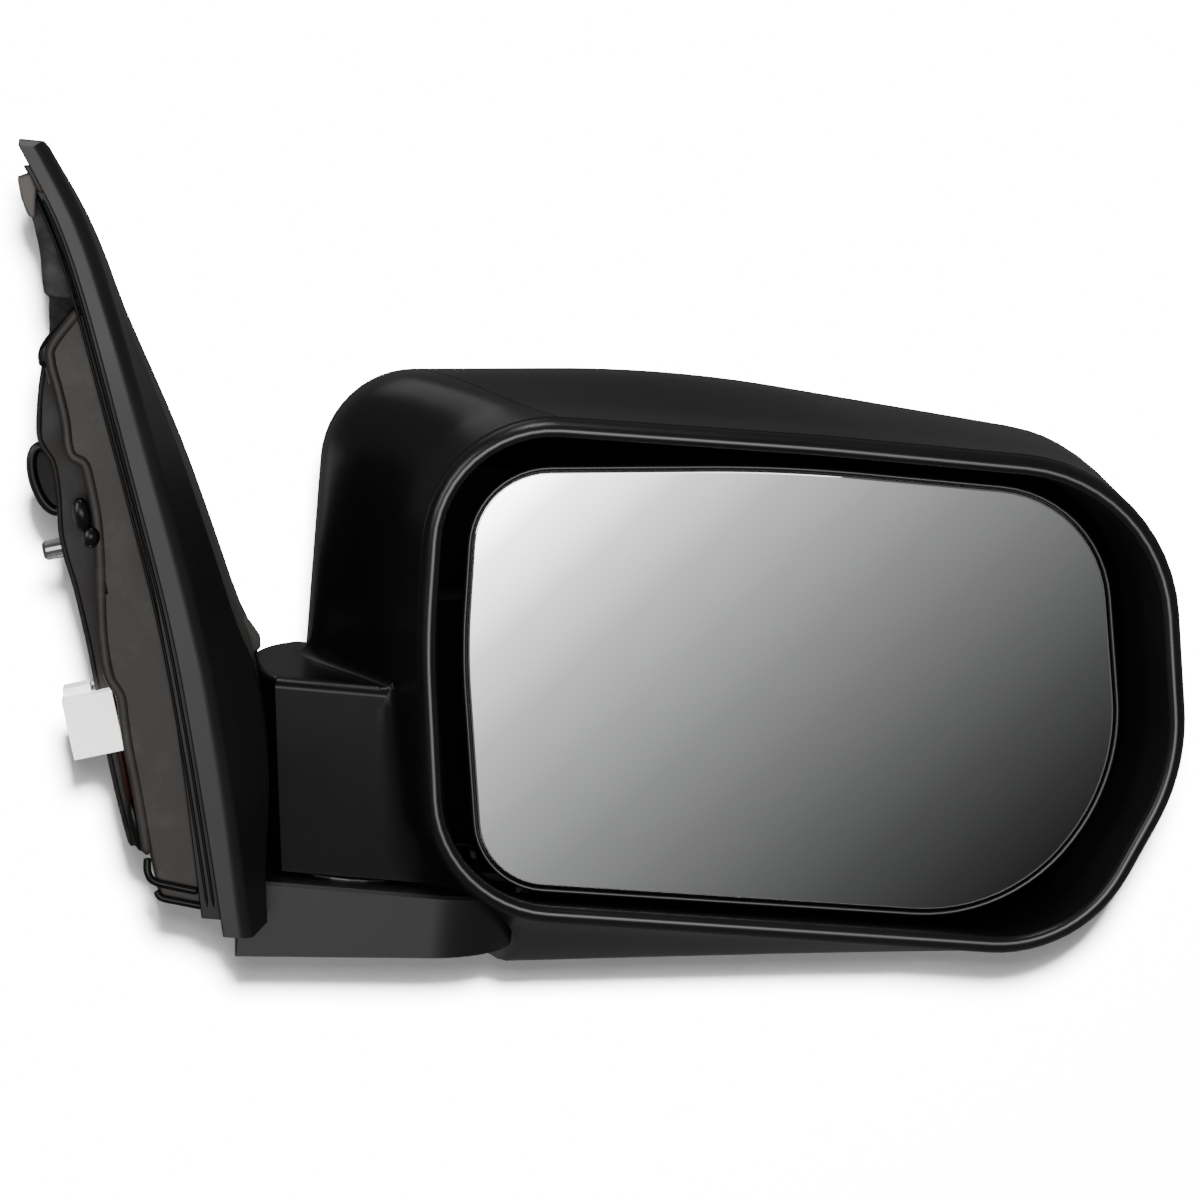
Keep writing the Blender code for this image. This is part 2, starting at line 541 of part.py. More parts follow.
# --- Fold pivot ---------------------------------------------------------------------
def make_pivot():
    shape = [(TUBE_BORE, -90.6), (13.0, -90.6), (13.0, -87.4), (TUBE_RADIUS, -87.4),
             (TUBE_RADIUS, TUBE_TOP), (TUBE_BORE, TUBE_TOP)]
    pivot = turned("pivot_tube", FOLD_AXIS, Z_AXIS, shape, "zinc_steel", ring=True, steps=24)
    lower = tube("detent_plate_lower", FOLD_AXIS, Z_AXIS, TUBE_RADIUS + GAP, 22.0, FOOT_TOP - 2.9,
                 FOOT_TOP + 0.4, "spring_steel", steps=24)
    upper = tube("detent_plate_upper", FOLD_AXIS, Z_AXIS, TUBE_RADIUS + GAP, 22.0, FOOT_TOP + 2.0,
                 FOOT_TOP + 5.4, "spring_steel", steps=24)
    for number in range(3):
        angle = math.tau * number / 3
        spot = FOLD_AXIS + Vector((17 * math.cos(angle), 17 * math.sin(angle), FOOT_TOP))
        dome = [(0.6, 0.8), (1.8, 1.2), (2.6, 2.0), (2.9, 3.0)]
        fuse(upper, turned(f"detent_nose_{number}", spot, Z_AXIS, dome, steps=8))
        dimple = [(0.6, -2.0), (2.4, -1.2), (3.2, -0.2), (3.6, 1.0)]
        cut(lower, turned(f"detent_dimple_{number}", spot, Z_AXIS, dimple, steps=8))
    washer = tube("thrust_washer", FOLD_AXIS, Z_AXIS, TUBE_RADIUS + GAP, 12.5, FOOT_TOP + 0.75,
                  FOOT_TOP + 1.65, "natural_nylon", steps=24)
    bush = tube("pivot_bush", FOLD_AXIS, Z_AXIS, TUBE_RADIUS + 0.1, 11.0, -75.0, -50.4, "brass", steps=24)
    retainer = tube("spring_retainer", FOLD_AXIS, Z_AXIS, TUBE_RADIUS + GAP, 14.8, -28.4, -25.6,
                    "zinc_steel", steps=24)
    loops, turns, per_turn = [], 4.0, 14
    for step in range(int(turns * per_turn) + 1):
        angle = math.tau * step / per_turn
        rise = -47.6 + 17.4 * step / (turns * per_turn)
        outward = Vector((math.cos(angle), math.sin(angle), 0))
        middle = FOLD_AXIS + outward * 12.2 + Z_AXIS * rise
        section = [math.tau * side / 6 for side in range(6)]
        loops.append([middle + outward * (1.4 * math.cos(a)) + Z_AXIS * (1.4 * math.sin(a)) for a in section])
    spring = skin("pivot_spring", loops, "spring_steel")
    return [pivot, lower, washer, retainer, spring], [upper, bush]


# --- Folding head -------------------------------------------------------------------
def shell_loops(wall):
    """Head shell sections from the rear rim to the nose, thinned by a wall."""
    rim, widest = inset(RING_OUTLINE, wall), inset(SHELL_OUTLINE, wall)
    swell = [(RING_BACK, 0.0), (-31, 0.1), (-24, 0.22), (-12, 0.5), (0, 0.77), (10, 0.94), (SHELL_WIDEST, 1.0)]
    loops = [rear_loop(mix(rim, widest, share), y) for y, share in swell]
    depth, flat = SHELL_NOSE - wall - SHELL_WIDEST, rounded_loop(widest, 4)
    for scale in (0.985, 0.95, 0.89, 0.8, 0.67, 0.48, 0.25):
        y = SHELL_WIDEST + depth * (1 - scale ** DOME_POWER) ** (1 / DOME_POWER)
        loops.append([Vector((DOME_CENTRE[0] + (spot.x - DOME_CENTRE[0]) * scale, y,
                              DOME_CENTRE[1] + (spot.y - DOME_CENTRE[1]) * scale)) for spot in flat])
    return loops


def seam_side(name, side, low, gap=0.0):
    """Half space on one side of the cap's seam, above a level."""
    along = Vector((-CAP_SEAM_NORMAL.y, CAP_SEAM_NORMAL.x, 0))
    centre = CAP_SEAM_POINT + CAP_SEAM_NORMAL * (200 * side - gap) + Z_AXIS * (low + 200)
    return frame_block(name, centre, (400, 500, 400), (CAP_SEAM_NORMAL, along, Z_AXIS))


def foot_sweep(name):
    """Room that the foot needs under the head through the whole fold."""
    space = rod(name, FOLD_AXIS, Z_AXIS, 56.4, -140.0, NECK_BOTTOM, steps=64)
    fuse(space, block(f"{name}_side", (-20, -120, -140), (112, 120, NECK_BOTTOM)))
    return space


def neck_loops(depth):
    """Neck sections: round about the fold axis at the inboard end, flat sides."""
    low, high = NECK_BOTTOM, NECK_TOP - depth
    steps = [(low + (2.4 if depth > 0 else 4 * depth), 0.0), (-60.0, 0.0), (-40.0, 0.0), (high - 4.5, 0.0),
             (high - 1.8, 1.2), (high - 0.5, 3.0), (high, 5.0)]
    loops = []
    for z, pinch in steps:
        share = (z - NECK_BOTTOM) / (NECK_TOP - NECK_BOTTOM)
        radius = NECK_RADIUS_BOTTOM + (NECK_RADIUS_TOP - NECK_RADIUS_BOTTOM) * share - depth - pinch
        rear, front = NECK_REAR + depth + pinch, min(NECK_FRONT - depth - pinch, radius - 1.5)
        first, last = math.pi + math.asin(-rear / radius), math.pi - math.asin(front / radius)
        loop = []
        for step in range(13):
            angle = first + (last - first) * step / 12
            loop.append((FOLD_AXIS.x + radius * math.cos(angle), radius * math.sin(angle)))
        loop += [(124.0 + 4 * abs(depth), front), (124.0 + 4 * abs(depth), rear)]
        loops.append([Vector((x, y, z + 0.08 * share * (y - 3.0))) for x, y in loop])
    return loops


CAP_SCREWS = [(150.0, 40.0), (270.0, 34.0), (262.0, -62.0)]
HOUSING_SCREWS = [(74.5, 40.0), (75.5, 2.0)]
RING_SCREWS = [(92.6, 22.0), (166.0, -88.0)]
CASE_SCREWS = [(-42.0, 42.0), (42.0, 42.0), (42.0, -42.0)]


def tunnel_outside(depth):
    """Outlines just outside the bezel's tunnel wall, from the rim to the tunnel's back."""
    front, back = inset(RING_OUTLINE, RING_WIDTH), TUNNEL_OUTLINE
    share = (RING_BACK + 2.0 + 42.0) / (TUNNEL_BACK + 42.0)
    return inset(mix(front, back, share), -depth), inset(back, -depth)


def make_bezel():
    front = inset(RING_OUTLINE, RING_WIDTH)
    neck, back = tunnel_outside(2.2)
    loops = [rear_loop(RING_OUTLINE, RING_BACK - GAP), rear_loop(RING_OUTLINE, -42.4)]
    for depth, y in ((0.7, -44.0), (2.0, -44.9), (4.0, -44.9), (5.3, -44.0)):
        loops.append(rear_loop(inset(RING_OUTLINE, depth), y))
    loops += [rear_loop(front, -42.2), rear_loop(TUNNEL_OUTLINE, TUNNEL_BACK), rear_loop(back, TUNNEL_BACK),
              rear_loop(neck, RING_BACK + 2.0), rear_loop(inset(RING_OUTLINE, 3.5), RING_BACK - GAP)]
    bezel = cut(skin("bezel_ring", loops, "gloss_black", ring=True), foot_sweep("bezel_foot_sweep"))
    for number, (x, z) in enumerate(RING_SCREWS, 1):
        spot = Vector((x, 0, z))
        fuse(bezel, rod(f"ring_post_{number}", spot, Y_AXIS, 3.6, -14.5, FRAME_FRONT - GAP, steps=14))
        side = Vector((4.7, -13.4, 0)) if number == 1 else Vector((0, -13.4, 3.0))
        size = (9.4, 2.2, 5.0) if number == 1 else (5.0, 2.2, 4.0)
        fuse(bezel, frame_block(f"ring_web_{number}", spot + side, size, (X_AXIS, Y_AXIS, Z_AXIS)))
        cut(bezel, rod(f"ring_post_hole_{number}", spot, Y_AXIS, 1.9, 2.0, 20.0, steps=14))
    return bezel


def tunnel_room(name):
    """Room that the bezel's tunnel takes up inside the head."""
    front, back = tunnel_outside(2.2 + GAP)
    return skin(name, [rear_loop(front, RING_BACK - 6), rear_loop(front, RING_BACK + 2),
                       rear_loop(back, TUNNEL_BACK + 0.4)])


def make_shell(name, finish):
    """Head shell open at the rear, with a wall over and round the foot's room."""
    shell = skin(name, shell_loops(0.0), finish)
    rim = rear_loop(inset(RING_OUTLINE, SHELL_WALL), RING_BACK - 4)
    void = skin(f"{name}_void", [rim] + shell_loops(SHELL_WALL))
    cut(void, rod(f"{name}_lining", FOLD_AXIS, Z_AXIS, 58.7, -130.0, NECK_BOTTOM + 2.2, steps=64),
        block(f"{name}_lining_side", (-20, -120, -130), (114.4, 120, NECK_BOTTOM + 2.1)))
    return cut(shell, void, foot_sweep(f"{name}_foot_sweep"))


def shell_boss(name, x, z):
    """Screw boss reaching from the head frame into the shell's wall."""
    boss = rod(name, Vector((x, 0, z)), Y_AXIS, 3.6, FRAME_BACK + GAP, 70.0, steps=14)
    return keep(boss, skin(f"{name}_limit", shell_loops(1.4)))


def make_head_shells():
    cap = cut(make_shell("cap_shell", "satin_black"), seam_side("cap_seam", -1, NECK_BOTTOM - 0.6),
              skin("neck_clearance", neck_loops(-0.5)), tunnel_room("cap_tunnel_room"),
              block("lining_end", (121.0, -36.0, -80.8), (131.0, -12.4, -77.6)))
    housing = cut(make_shell("inboard_housing", "satin_black"), seam_side("housing_seam", 1, -200.0, 0.6),
                  block("housing_below", (20, -60, -200), (360, 80, NECK_BOTTOM - 0.02)))
    fuse(housing, skin("neck_block", neck_loops(0.0)))
    room = skin("head_room", [rear_loop(inset(RING_OUTLINE, SHELL_WALL), RING_BACK - 4)]
                + shell_loops(SHELL_WALL))
    keep(room, block("head_room_limit", (0, -80, NECK_BOTTOM + 3.0), (400, 100, 200)))
    hole = rod("detent_hole", FOLD_AXIS, Z_AXIS, 23.0, -90.0, -70.0, steps=32)
    cut(housing, skin("neck_room", neck_loops(2.6)), room, tunnel_room("housing_tunnel_room"), hole)
    for number, (x, z) in enumerate(CAP_SCREWS, 1):
        fuse(cap, shell_boss(f"cap_boss_{number}", x, z))
        cut(cap, rod(f"cap_boss_hole_{number}", Vector((x, 0, z)), Y_AXIS, 1.9, 10.0, 30.0, steps=14))
    for number, (x, z) in enumerate(HOUSING_SCREWS, 1):
        boss = rod(f"housing_boss_{number}", Vector((x, 0, z)), Y_AXIS, 3.4, FRAME_BACK + GAP, 37.0, steps=14)
        fuse(housing, boss)
        cut(housing, rod(f"housing_boss_hole_{number}", Vector((x, 0, z)), Y_AXIS, 1.9, 10.0, 30.0, steps=14))
    return [cap, housing]


def make_head_frame():
    outline = [(70.8, 48, 5), (276, 46, 10), (279, -72, 10), (178, -97, 6), (156, -95, 6), (144, -75, 6),
               (98, -71, 8), (74, -70, 5), (71.5, -6, 5)]
    frame = skin("head_frame", [rear_loop(outline, y) for y in (FRAME_FRONT, FRAME_BACK)], "diecast")
    fuse(frame, rod("pivot_sleeve", FOLD_AXIS, Z_AXIS, 19.0, FOOT_TOP + 5.8, -26.5, steps=32))
    cut(frame, rod("bush_bore", FOLD_AXIS, Z_AXIS, 11.12, -90.0, -30.0, steps=32),
        rod("spring_bore", FOLD_AXIS, Z_AXIS, 15.8, -49.4, -20.0, steps=32),
        rod("frame_window", Vector((GLASS_CENTRE.x, 0, GLASS_CENTRE.z)), Y_AXIS, 27.0, 5.0, 25.0, steps=32))
    spots = CAP_SCREWS + HOUSING_SCREWS + RING_SCREWS
    spots += [(GLASS_CENTRE.x + x, GLASS_CENTRE.z + z) for x, z in CASE_SCREWS]
    for number, (x, z) in enumerate(spots, 1):
        cut(frame, rod(f"frame_hole_{number}", Vector((x, 0, z)), Y_AXIS, 2.0, 10.0, 25.0, steps=14))
    return frame


def make_head_screws():
    pieces = []
    for group, spots in (("cap_screw", CAP_SCREWS), ("housing_screw", HOUSING_SCREWS)):
        for number, (x, z) in enumerate(spots, 1):
            tip = (x, FRAME_FRONT - GAP + 12.0, z)
            pieces.append(screw(f"{group}_{number}", tip, Y_AXIS, 12.0, 1.5, 3.0))
    for number, (x, z) in enumerate(RING_SCREWS, 1):
        tip = (x, FRAME_BACK + GAP - 14.0, z)
        pieces.append(screw(f"bezel_screw_{number}", tip, -Y_AXIS, 14.0, 1.5, 3.0))
    for number, (x, z) in enumerate(CASE_SCREWS, 1):
        tip = (GLASS_CENTRE.x + x, 22.0, GLASS_CENTRE.z + z)
        pieces.append(screw(f"actuator_screw_{number}", tip, Y_AXIS, 16.4, 1.5, 3.0))
    return pieces


def make_head_wiring():
    low = Vector((152.0, 0.0, -6.0))
    plug = block("actuator_plug", low, low + Vector((11.4, 10.0, 10.0)), "grey_nylon")
    route = [Vector((84, 0, -49.8)), Vector((84, 0, -36)), Vector((84, 0, -22)), Vector((85, 1.5, -8)),
             Vector((92, 4.5, 3)), Vector((106, 5.5, 7)), Vector((124, 5, 6)), Vector((140, 5, 1)),
             Vector((151.6, 5, -1))]
    return [plug, cable("head_harness", route, 3.0, points=34)]


# --- Glass actuator -----------------------------------------------------------------
def at_glass(x, z, y=0.0):
    return Vector((GLASS_CENTRE.x + x, y, GLASS_CENTRE.z + z))


CASE_OUTLINE = [(264, 16, 8), (238, 42, 8), (190, 42, 8), (164, 16, 8),
                (164, -32, 8), (190, -58, 8), (238, -58, 8), (264, -32, 8)]
PLUNGERS = {"vertical": (0.0, PLUNGER_ARM), "horizontal": (-PLUNGER_ARM, 0.0)}


def make_actuator_case():
    room = inset(CASE_OUTLINE, CASE_WALL)
    front = skin("actuator_case_front",
                 [rear_loop(CASE_OUTLINE, CASE_FRONT), rear_loop(CASE_OUTLINE, CASE_SPLIT - GAP / 2),
                  rear_loop(room, CASE_SPLIT - GAP / 2), rear_loop(room, CASE_FRONT + CASE_WALL)], "grey_nylon")
    rear = skin("actuator_case_rear",
                [rear_loop(CASE_OUTLINE, CASE_BACK), rear_loop(CASE_OUTLINE, CASE_SPLIT + GAP / 2),
                 rear_loop(room, CASE_SPLIT + GAP / 2), rear_loop(room, CASE_BACK - CASE_WALL)], "grey_nylon")
    hub = rod("gimbal_hub", at_glass(0, 0), Y_AXIS, 8.5, -21.0, CASE_FRONT + 1.0, steps=24)
    pins = rod("hub_pins", GLASS_CENTRE, X_AXIS, 2.0, -14.6, 14.6, steps=16)
    fuse(front, hub, pins)
    for label, (x, z) in PLUNGERS.items():
        cut(front, rod(f"plunger_window_{label}", at_glass(x, z), Y_AXIS, 7.0, -20.0, 0.0, steps=20))
    for number, (x, z) in enumerate(CASE_SCREWS, 1):
        fuse(rear, rod(f"case_ear_{number}", at_glass(x, z), Y_AXIS, 6.0, 6.0, CASE_BACK, steps=16))
        web = (Vector((-x, 0, -z)).normalized(), Y_AXIS, Vector((z, 0, -x)).normalized())
        fuse(rear, frame_block(f"case_web_{number}", at_glass(x * 0.9, z * 0.9, 10.0), (12.0, 8.0, 8.0), web))
        cut(rear, rod(f"case_ear_hole_{number}", at_glass(x, z), Y_AXIS, 2.0, 0.0, 20.0, steps=14))
    return [front, rear]


def make_worm(name, centre, direction, low, high):
    """Motor worm: a core with one raised helical thread."""
    first, second = side_vectors(direction)
    loops, count, pitch = [], 8, 4.2
    steps = int((high - low) * 1.4)
    for step in range(steps + 1):
        along = low + (high - low) * step / steps
        loop = []
        for side in range(count):
            angle = math.tau * side / count
            ridge = max(0.0, math.cos(angle - math.tau * along / pitch))
            radius = 2.3 + 1.2 * ridge
            loop.append(centre + direction * along
                        + (first * math.cos(angle) + second * math.sin(angle)) * radius)
        loops.append(loop)
    return skin(name, loops, "natural_nylon")


def make_gear(name, centre):
    """Nut wheel round a plunger, with straight-sided teeth."""
    loops = []
    for y, bore in ((GEAR_MID_Y - 3.5, False), (GEAR_MID_Y + 3.5, False),
                    (GEAR_MID_Y + 3.5, True), (GEAR_MID_Y - 3.5, True)):
        loop = []
        for tooth in range(GEAR_TEETH):
            for share, radius in ((0.0, 0.0), (0.18, 0.0), (0.42, 1.4), (0.76, 1.4)):
                angle = math.tau * (tooth + share) / GEAR_TEETH
                reach = PLUNGER_RADIUS + 0.4 if bore else GEAR_RADIUS - 1.4 + radius
                loop.append(centre + Vector((reach * math.cos(angle), y, reach * math.sin(angle))))
        loops.append(loop)
    return skin(name, loops, "natural_nylon", ring=True)


def make_drives():
    """Plungers, nut wheels, worms, motors and seals of the two adjusters."""
    pieces = {}
    for label, (x, z) in PLUNGERS.items():
        centre = at_glass(x, z)
        ball = [(0.8, -4.0), (2.4, -3.2), (3.6, -1.8), (4.0, 0.0), (3.6, 1.8), (2.6, 3.2)]
        shaft = [(2.6, 4.2), (PLUNGER_RADIUS, 5.4), (PLUNGER_RADIUS, 22.6), (3.4, 23.6)]
        axis = Vector((centre.x, GLASS_CENTRE.y, centre.z))
        pieces[f"plunger_{label}"] = turned(f"plunger_{label}", axis, Y_AXIS, ball + shaft, "natural_nylon")
        pieces[f"gear_{label}"] = make_gear(f"nut_gear_{label}", centre)
        pieces[f"seal_{label}"] = tube(f"plunger_seal_{label}", centre, Y_AXIS, PLUNGER_RADIUS + GAP, 6.6,
                                       CASE_FRONT - 0.6, CASE_FRONT + 2.2, "black_rubber")
        away = GEAR_RADIUS + 4.0
        line = centre + (Vector((0, GEAR_MID_Y, -away)) if label == "vertical" else Vector((away, GEAR_MID_Y, 0)))
        direction = X_AXIS if label == "vertical" else -Z_AXIS
        pieces[f"worm_{label}"] = make_worm(f"motor_worm_{label}", line, direction, -9.0, 10.6)
        can = [(3.0, 11.0), (3.0, 12.4), (7.6, 12.4), (8.0, 13.0), (8.0, 35.0), (7.0, 36.0), (2.4, 36.0), (2.4, 37.2)]
        pieces[f"motor_{label}"] = turned(f"tilt_motor_{label}", line, direction, can, "zinc_steel")
    return pieces


def make_gimbal():
    ring = tube("gimbal_ring", GLASS_CENTRE, Y_AXIS, 12.0, 16.0, -4.0, 4.0, "natural_nylon", steps=24)
    for side in (-1, 1):
        fuse(ring, rod(f"gimbal_pin_{side}", GLASS_CENTRE, Z_AXIS * side, 2.0, 14.0, 22.4, steps=16))
    return cut(ring, rod("gimbal_bore", GLASS_CENTRE, X_AXIS, 2.2, -20.0, 20.0, steps=16))


def make_glass():
    back = GLASS_FACE + GLASS_THICK
    glass = skin("mirror_glass", [rear_loop(inset(GLASS_OUTLINE, 0.5), GLASS_FACE),
                                  rear_loop(GLASS_OUTLINE, GLASS_FACE + 0.5), rear_loop(GLASS_OUTLINE, back)],
                 "mirror")
    pad = skin("glass_adhesive_pad", [rear_loop(inset(GLASS_OUTLINE, 3.0), y)
                                      for y in (back + GAP, back + GAP + PAD_THICK)], "foam")
    plate = back + 2 * GAP + PAD_THICK
    rim = [(GAP, plate), (GAP, -32.2), (0.8, -32.7), (1.4, -32.6), (HOLDER_RIM, -31.8),
           (HOLDER_RIM, plate + 1.2), (1.0, plate + HOLDER_THICK)]
    holder = skin("glass_holder", [rear_loop(inset(GLASS_OUTLINE, -width), y) for width, y in rim], "satin_black")
    floor = plate + HOLDER_THICK - 0.8
    for side in (-1, 1):
        lug = frame_block(f"holder_lug_{side}", at_glass(0, 19.8 * side, (floor - 13.6) / 2),
                          (9.0, -13.6 - floor, 5.0), (X_AXIS, Y_AXIS, Z_AXIS))
        fuse(holder, lug)
    for label, (x, z) in PLUNGERS.items():
        fuse(holder, rod(f"socket_{label}", at_glass(x, z), Y_AXIS, 7.2, floor, -16.0, steps=20))
        cut(holder, rod(f"socket_room_{label}", at_glass(x, z), Y_AXIS, 5.1, -22.6, -10.0, steps=20))
    cut(holder, rod("holder_bore", GLASS_CENTRE, Z_AXIS, 2.2, -30.0, 30.0, steps=16))
    return [glass, pad, holder]


# --- Assembly -----------------------------------------------------------------------
def attach(pieces, label, centre):
    """Parent pieces to an empty that stands on their joint's axis."""
    pivot = bpy.data.objects.new(label, None)
    pivot.location = Vector(centre) * MM
    bpy.context.scene.collection.objects.link(pivot)
    for piece in pieces:
        shift = Matrix.Translation(-pivot.location)
        if piece.type == "MESH":
            piece.data.transform(shift)
        else:
            for point in piece.data.splines[0].points:
                point.co = (*(Vector(point.co[:3]) - pivot.location), 1.0)
        piece.parent = pivot


def main():
    clear_scene()
    moving_with_base, riding_on_head = make_pivot()
    make_sail_shell()
    make_base_frame()
    make_gasket()
    make_seal_pad()
    make_door_fixings()
    make_connector()
    make_base_wiring()
    make_foot_cover()
    make_sail_screws()
    drives = make_drives()
    head = make_head_shells() + riding_on_head + make_head_screws() + make_head_wiring()
    head += make_actuator_case() + [make_bezel(), make_head_frame()]
    head += [drives[f"{kind}_{label}"] for kind in ("seal", "motor") for label in PLUNGERS]
    attach(head, "fold_axis", FOLD_AXIS)
    attach([make_gimbal()], "tilt_axis", GLASS_CENTRE)
    attach(make_glass(), "pan_axis", GLASS_CENTRE)
    for label, (x, z) in PLUNGERS.items():
        centre = at_glass(x, z)
        attach([drives[f"plunger_{label}"]], f"plunger_axis_{label}", centre)
        attach([drives[f"gear_{label}"]], f"gear_axis_{label}", centre)
        away = GEAR_RADIUS + 4.0
        offset = Vector((0, GEAR_MID_Y, -away)) if label == "vertical" else Vector((away, GEAR_MID_Y, 0))
        attach([drives[f"worm_{label}"]], f"worm_axis_{label}", centre + offset)


if __name__ == "__main__":
    main()
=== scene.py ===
import json
import math

import bmesh
import bpy
from mathutils import Matrix, Vector, noise

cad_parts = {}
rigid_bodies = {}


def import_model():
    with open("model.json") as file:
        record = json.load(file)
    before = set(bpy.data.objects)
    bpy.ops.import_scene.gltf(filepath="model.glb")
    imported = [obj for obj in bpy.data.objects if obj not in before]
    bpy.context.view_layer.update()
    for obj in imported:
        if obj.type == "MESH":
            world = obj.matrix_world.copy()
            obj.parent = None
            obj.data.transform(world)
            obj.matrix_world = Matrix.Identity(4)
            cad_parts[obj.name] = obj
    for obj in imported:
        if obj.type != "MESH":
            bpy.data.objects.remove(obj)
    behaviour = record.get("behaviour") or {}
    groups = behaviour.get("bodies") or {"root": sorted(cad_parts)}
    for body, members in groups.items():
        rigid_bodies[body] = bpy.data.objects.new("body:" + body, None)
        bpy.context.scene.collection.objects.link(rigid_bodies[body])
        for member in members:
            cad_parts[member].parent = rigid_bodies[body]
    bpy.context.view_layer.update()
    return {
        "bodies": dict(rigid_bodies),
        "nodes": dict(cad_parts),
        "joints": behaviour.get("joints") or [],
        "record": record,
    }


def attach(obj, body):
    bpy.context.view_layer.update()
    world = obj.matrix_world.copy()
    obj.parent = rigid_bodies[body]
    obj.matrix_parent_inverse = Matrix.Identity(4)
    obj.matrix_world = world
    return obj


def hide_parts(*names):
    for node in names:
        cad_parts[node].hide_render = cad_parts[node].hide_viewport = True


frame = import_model()

MM = 0.001
ARC = 12  # points on each rounded corner of a visible outline

# --- Driving dimensions ---
DOOR_LEAN = 0.3076  # tangent of the door face's lean, 17.1 degrees
FOLD_AXIS = Vector((84.0, 0.0, 0.0))  # the head folds about a vertical line through here
GLASS_CENTRE = Vector((214.0, -17.0, -8.0))  # crossing point of the two glass pivots
GAP = 0.35  # free space left where two pieces touch

SAIL_REAR, SAIL_WALL, SAIL_THICK = -70.0, 3.0, 8.5
SEAM_X = [(-93, 45.8), (-48, 34.7), (0, 21.6), (50, 4.2), (96, -12.4), (118, -22.3), (138, -35)]
FLARE_X = [(-93, 5.0), (-76, 7.0), (-44, 13.0), (-14, 14.0), (0, 11.0), (50, 7.0), (96, 0.6), (138, 0.2)]
SAIL_FRONT = [(-93, 78), (-60, 84), (0, 62), (70, 8), (138, -57)]
SAIL_HEIGHTS = [-92, -88, -70, -50, -34, -20, -12, -4, 12, 30, 50, 70, 90, 104, 118, 130, 138]

FOOT_TOP, FOOT_HALF_WIDTH, FOOT_END = -82.0, 34.0, 138.0
NECK_BOTTOM, NECK_TOP, NECK_REAR, NECK_FRONT = -80.3, -17.5, -24.0, 30.0
NECK_RADIUS_TOP, NECK_RADIUS_BOTTOM, POCKET_GAP = 37.6, 32.0, 1.2
TUBE_RADIUS = 8.0

# Head outlines seen from behind: (x, z, corner radius), clockwise from the inboard top.
RING_OUTLINE = [(93.8, 70, 40), (215, 73, 900), (324, 73, 55), (341.3, -20.3, 66),
                (314.8, -83.7, 46), (108.5, -87, 42), (96, -2, 250)]
SHELL_OUTLINE = [(63.5, 73.3, 30), (172, 84.2, 420), (324, 73.2, 48), (336, -20, 56),
                 (306, -93.2, 34), (120, -114.8, 26), (65.5, -35, 50)]
TUNNEL_OUTLINE = [(101.8, 64, 32), (212, 67, 900), (314.5, 66, 46), (327.5, -21, 60),
                  (304, -80.8, 38), (117, -84.0, 30), (104.2, -2, 250)]
GLASS_OUTLINE = [(110.6, 51, 24), (205, 60.6, 500), (304.5, 60.6, 38), (321.5, -25, 64),
                 (292.2, -73.8, 56), (124.8, -77.1, 22), (112.6, -5, 200)]
RING_BACK, TUNNEL_BACK, RING_WIDTH = -38.0, -12.0, 6.0
SHELL_WALL, SHELL_WIDEST, SHELL_NOSE = 3.0, 20.0, 62.0
DOME_CENTRE, DOME_POWER = (196.0, -10.0), 2.5
CAP_SEAM_POINT, CAP_SEAM_NORMAL = Vector((96.0, 15.0, 0.0)), Vector((0.821, 0.571, 0.0))

GLASS_FACE, GLASS_THICK, PAD_THICK, HOLDER_THICK, HOLDER_RIM = -32.0, 2.2, 1.0, 2.0, 1.9
PLUNGER_ARM = 33.0  # from the glass centre to each plunger

X_AXIS, Y_AXIS, Z_AXIS = Vector((1, 0, 0)), Vector((0, 1, 0)), Vector((0, 0, 1))
DOOR_NORMAL = Vector((1.0, 0.0, DOOR_LEAN)).normalized()  # outboard, square to the door
DOOR_UP = Vector((-DOOR_LEAN, 0.0, 1.0)).normalized()  # up along the door face
DOOR_AXES = (DOOR_NORMAL, Y_AXIS, DOOR_UP)


# --- Mesh helpers ---
def solid(name, points, faces, finish=None):
    """Object from points in millimetres; without a finish it is a hidden cutter."""
    mesh = bpy.data.meshes.new(name)
    mesh.from_pydata([Vector(point) * MM for point in points], [], faces)
    work = bmesh.new()
    work.from_mesh(mesh)
    bmesh.ops.recalc_face_normals(work, faces=work.faces)
    work.to_mesh(mesh)
    work.free()
    piece = bpy.data.objects.new(name, mesh)
    bpy.context.scene.collection.objects.link(piece)
    if finish is None:
        piece.hide_render = True
        piece.display_type = "WIRE"
    else:
        mesh.materials.append(MATERIALS[finish])
    return piece


def skin(name, loops, finish=None, ring=False):
    """Closed solid through matching outlines; a ring joins its last outline to its first."""
    count = len(loops[0])
    points = [point for loop in loops for point in loop]
    faces = []
    for index in range(len(loops) if ring else len(loops) - 1):
        low, high = index * count, (index + 1) % len(loops) * count
        for side in range(count):
            after = (side + 1) % count
            faces.append((low + side, low + after, high + after, high + side))
    if not ring:
        faces.append(tuple(range(count)))
        faces.append(tuple(range(len(points) - count, len(points))))
    return solid(name, points, faces, finish)


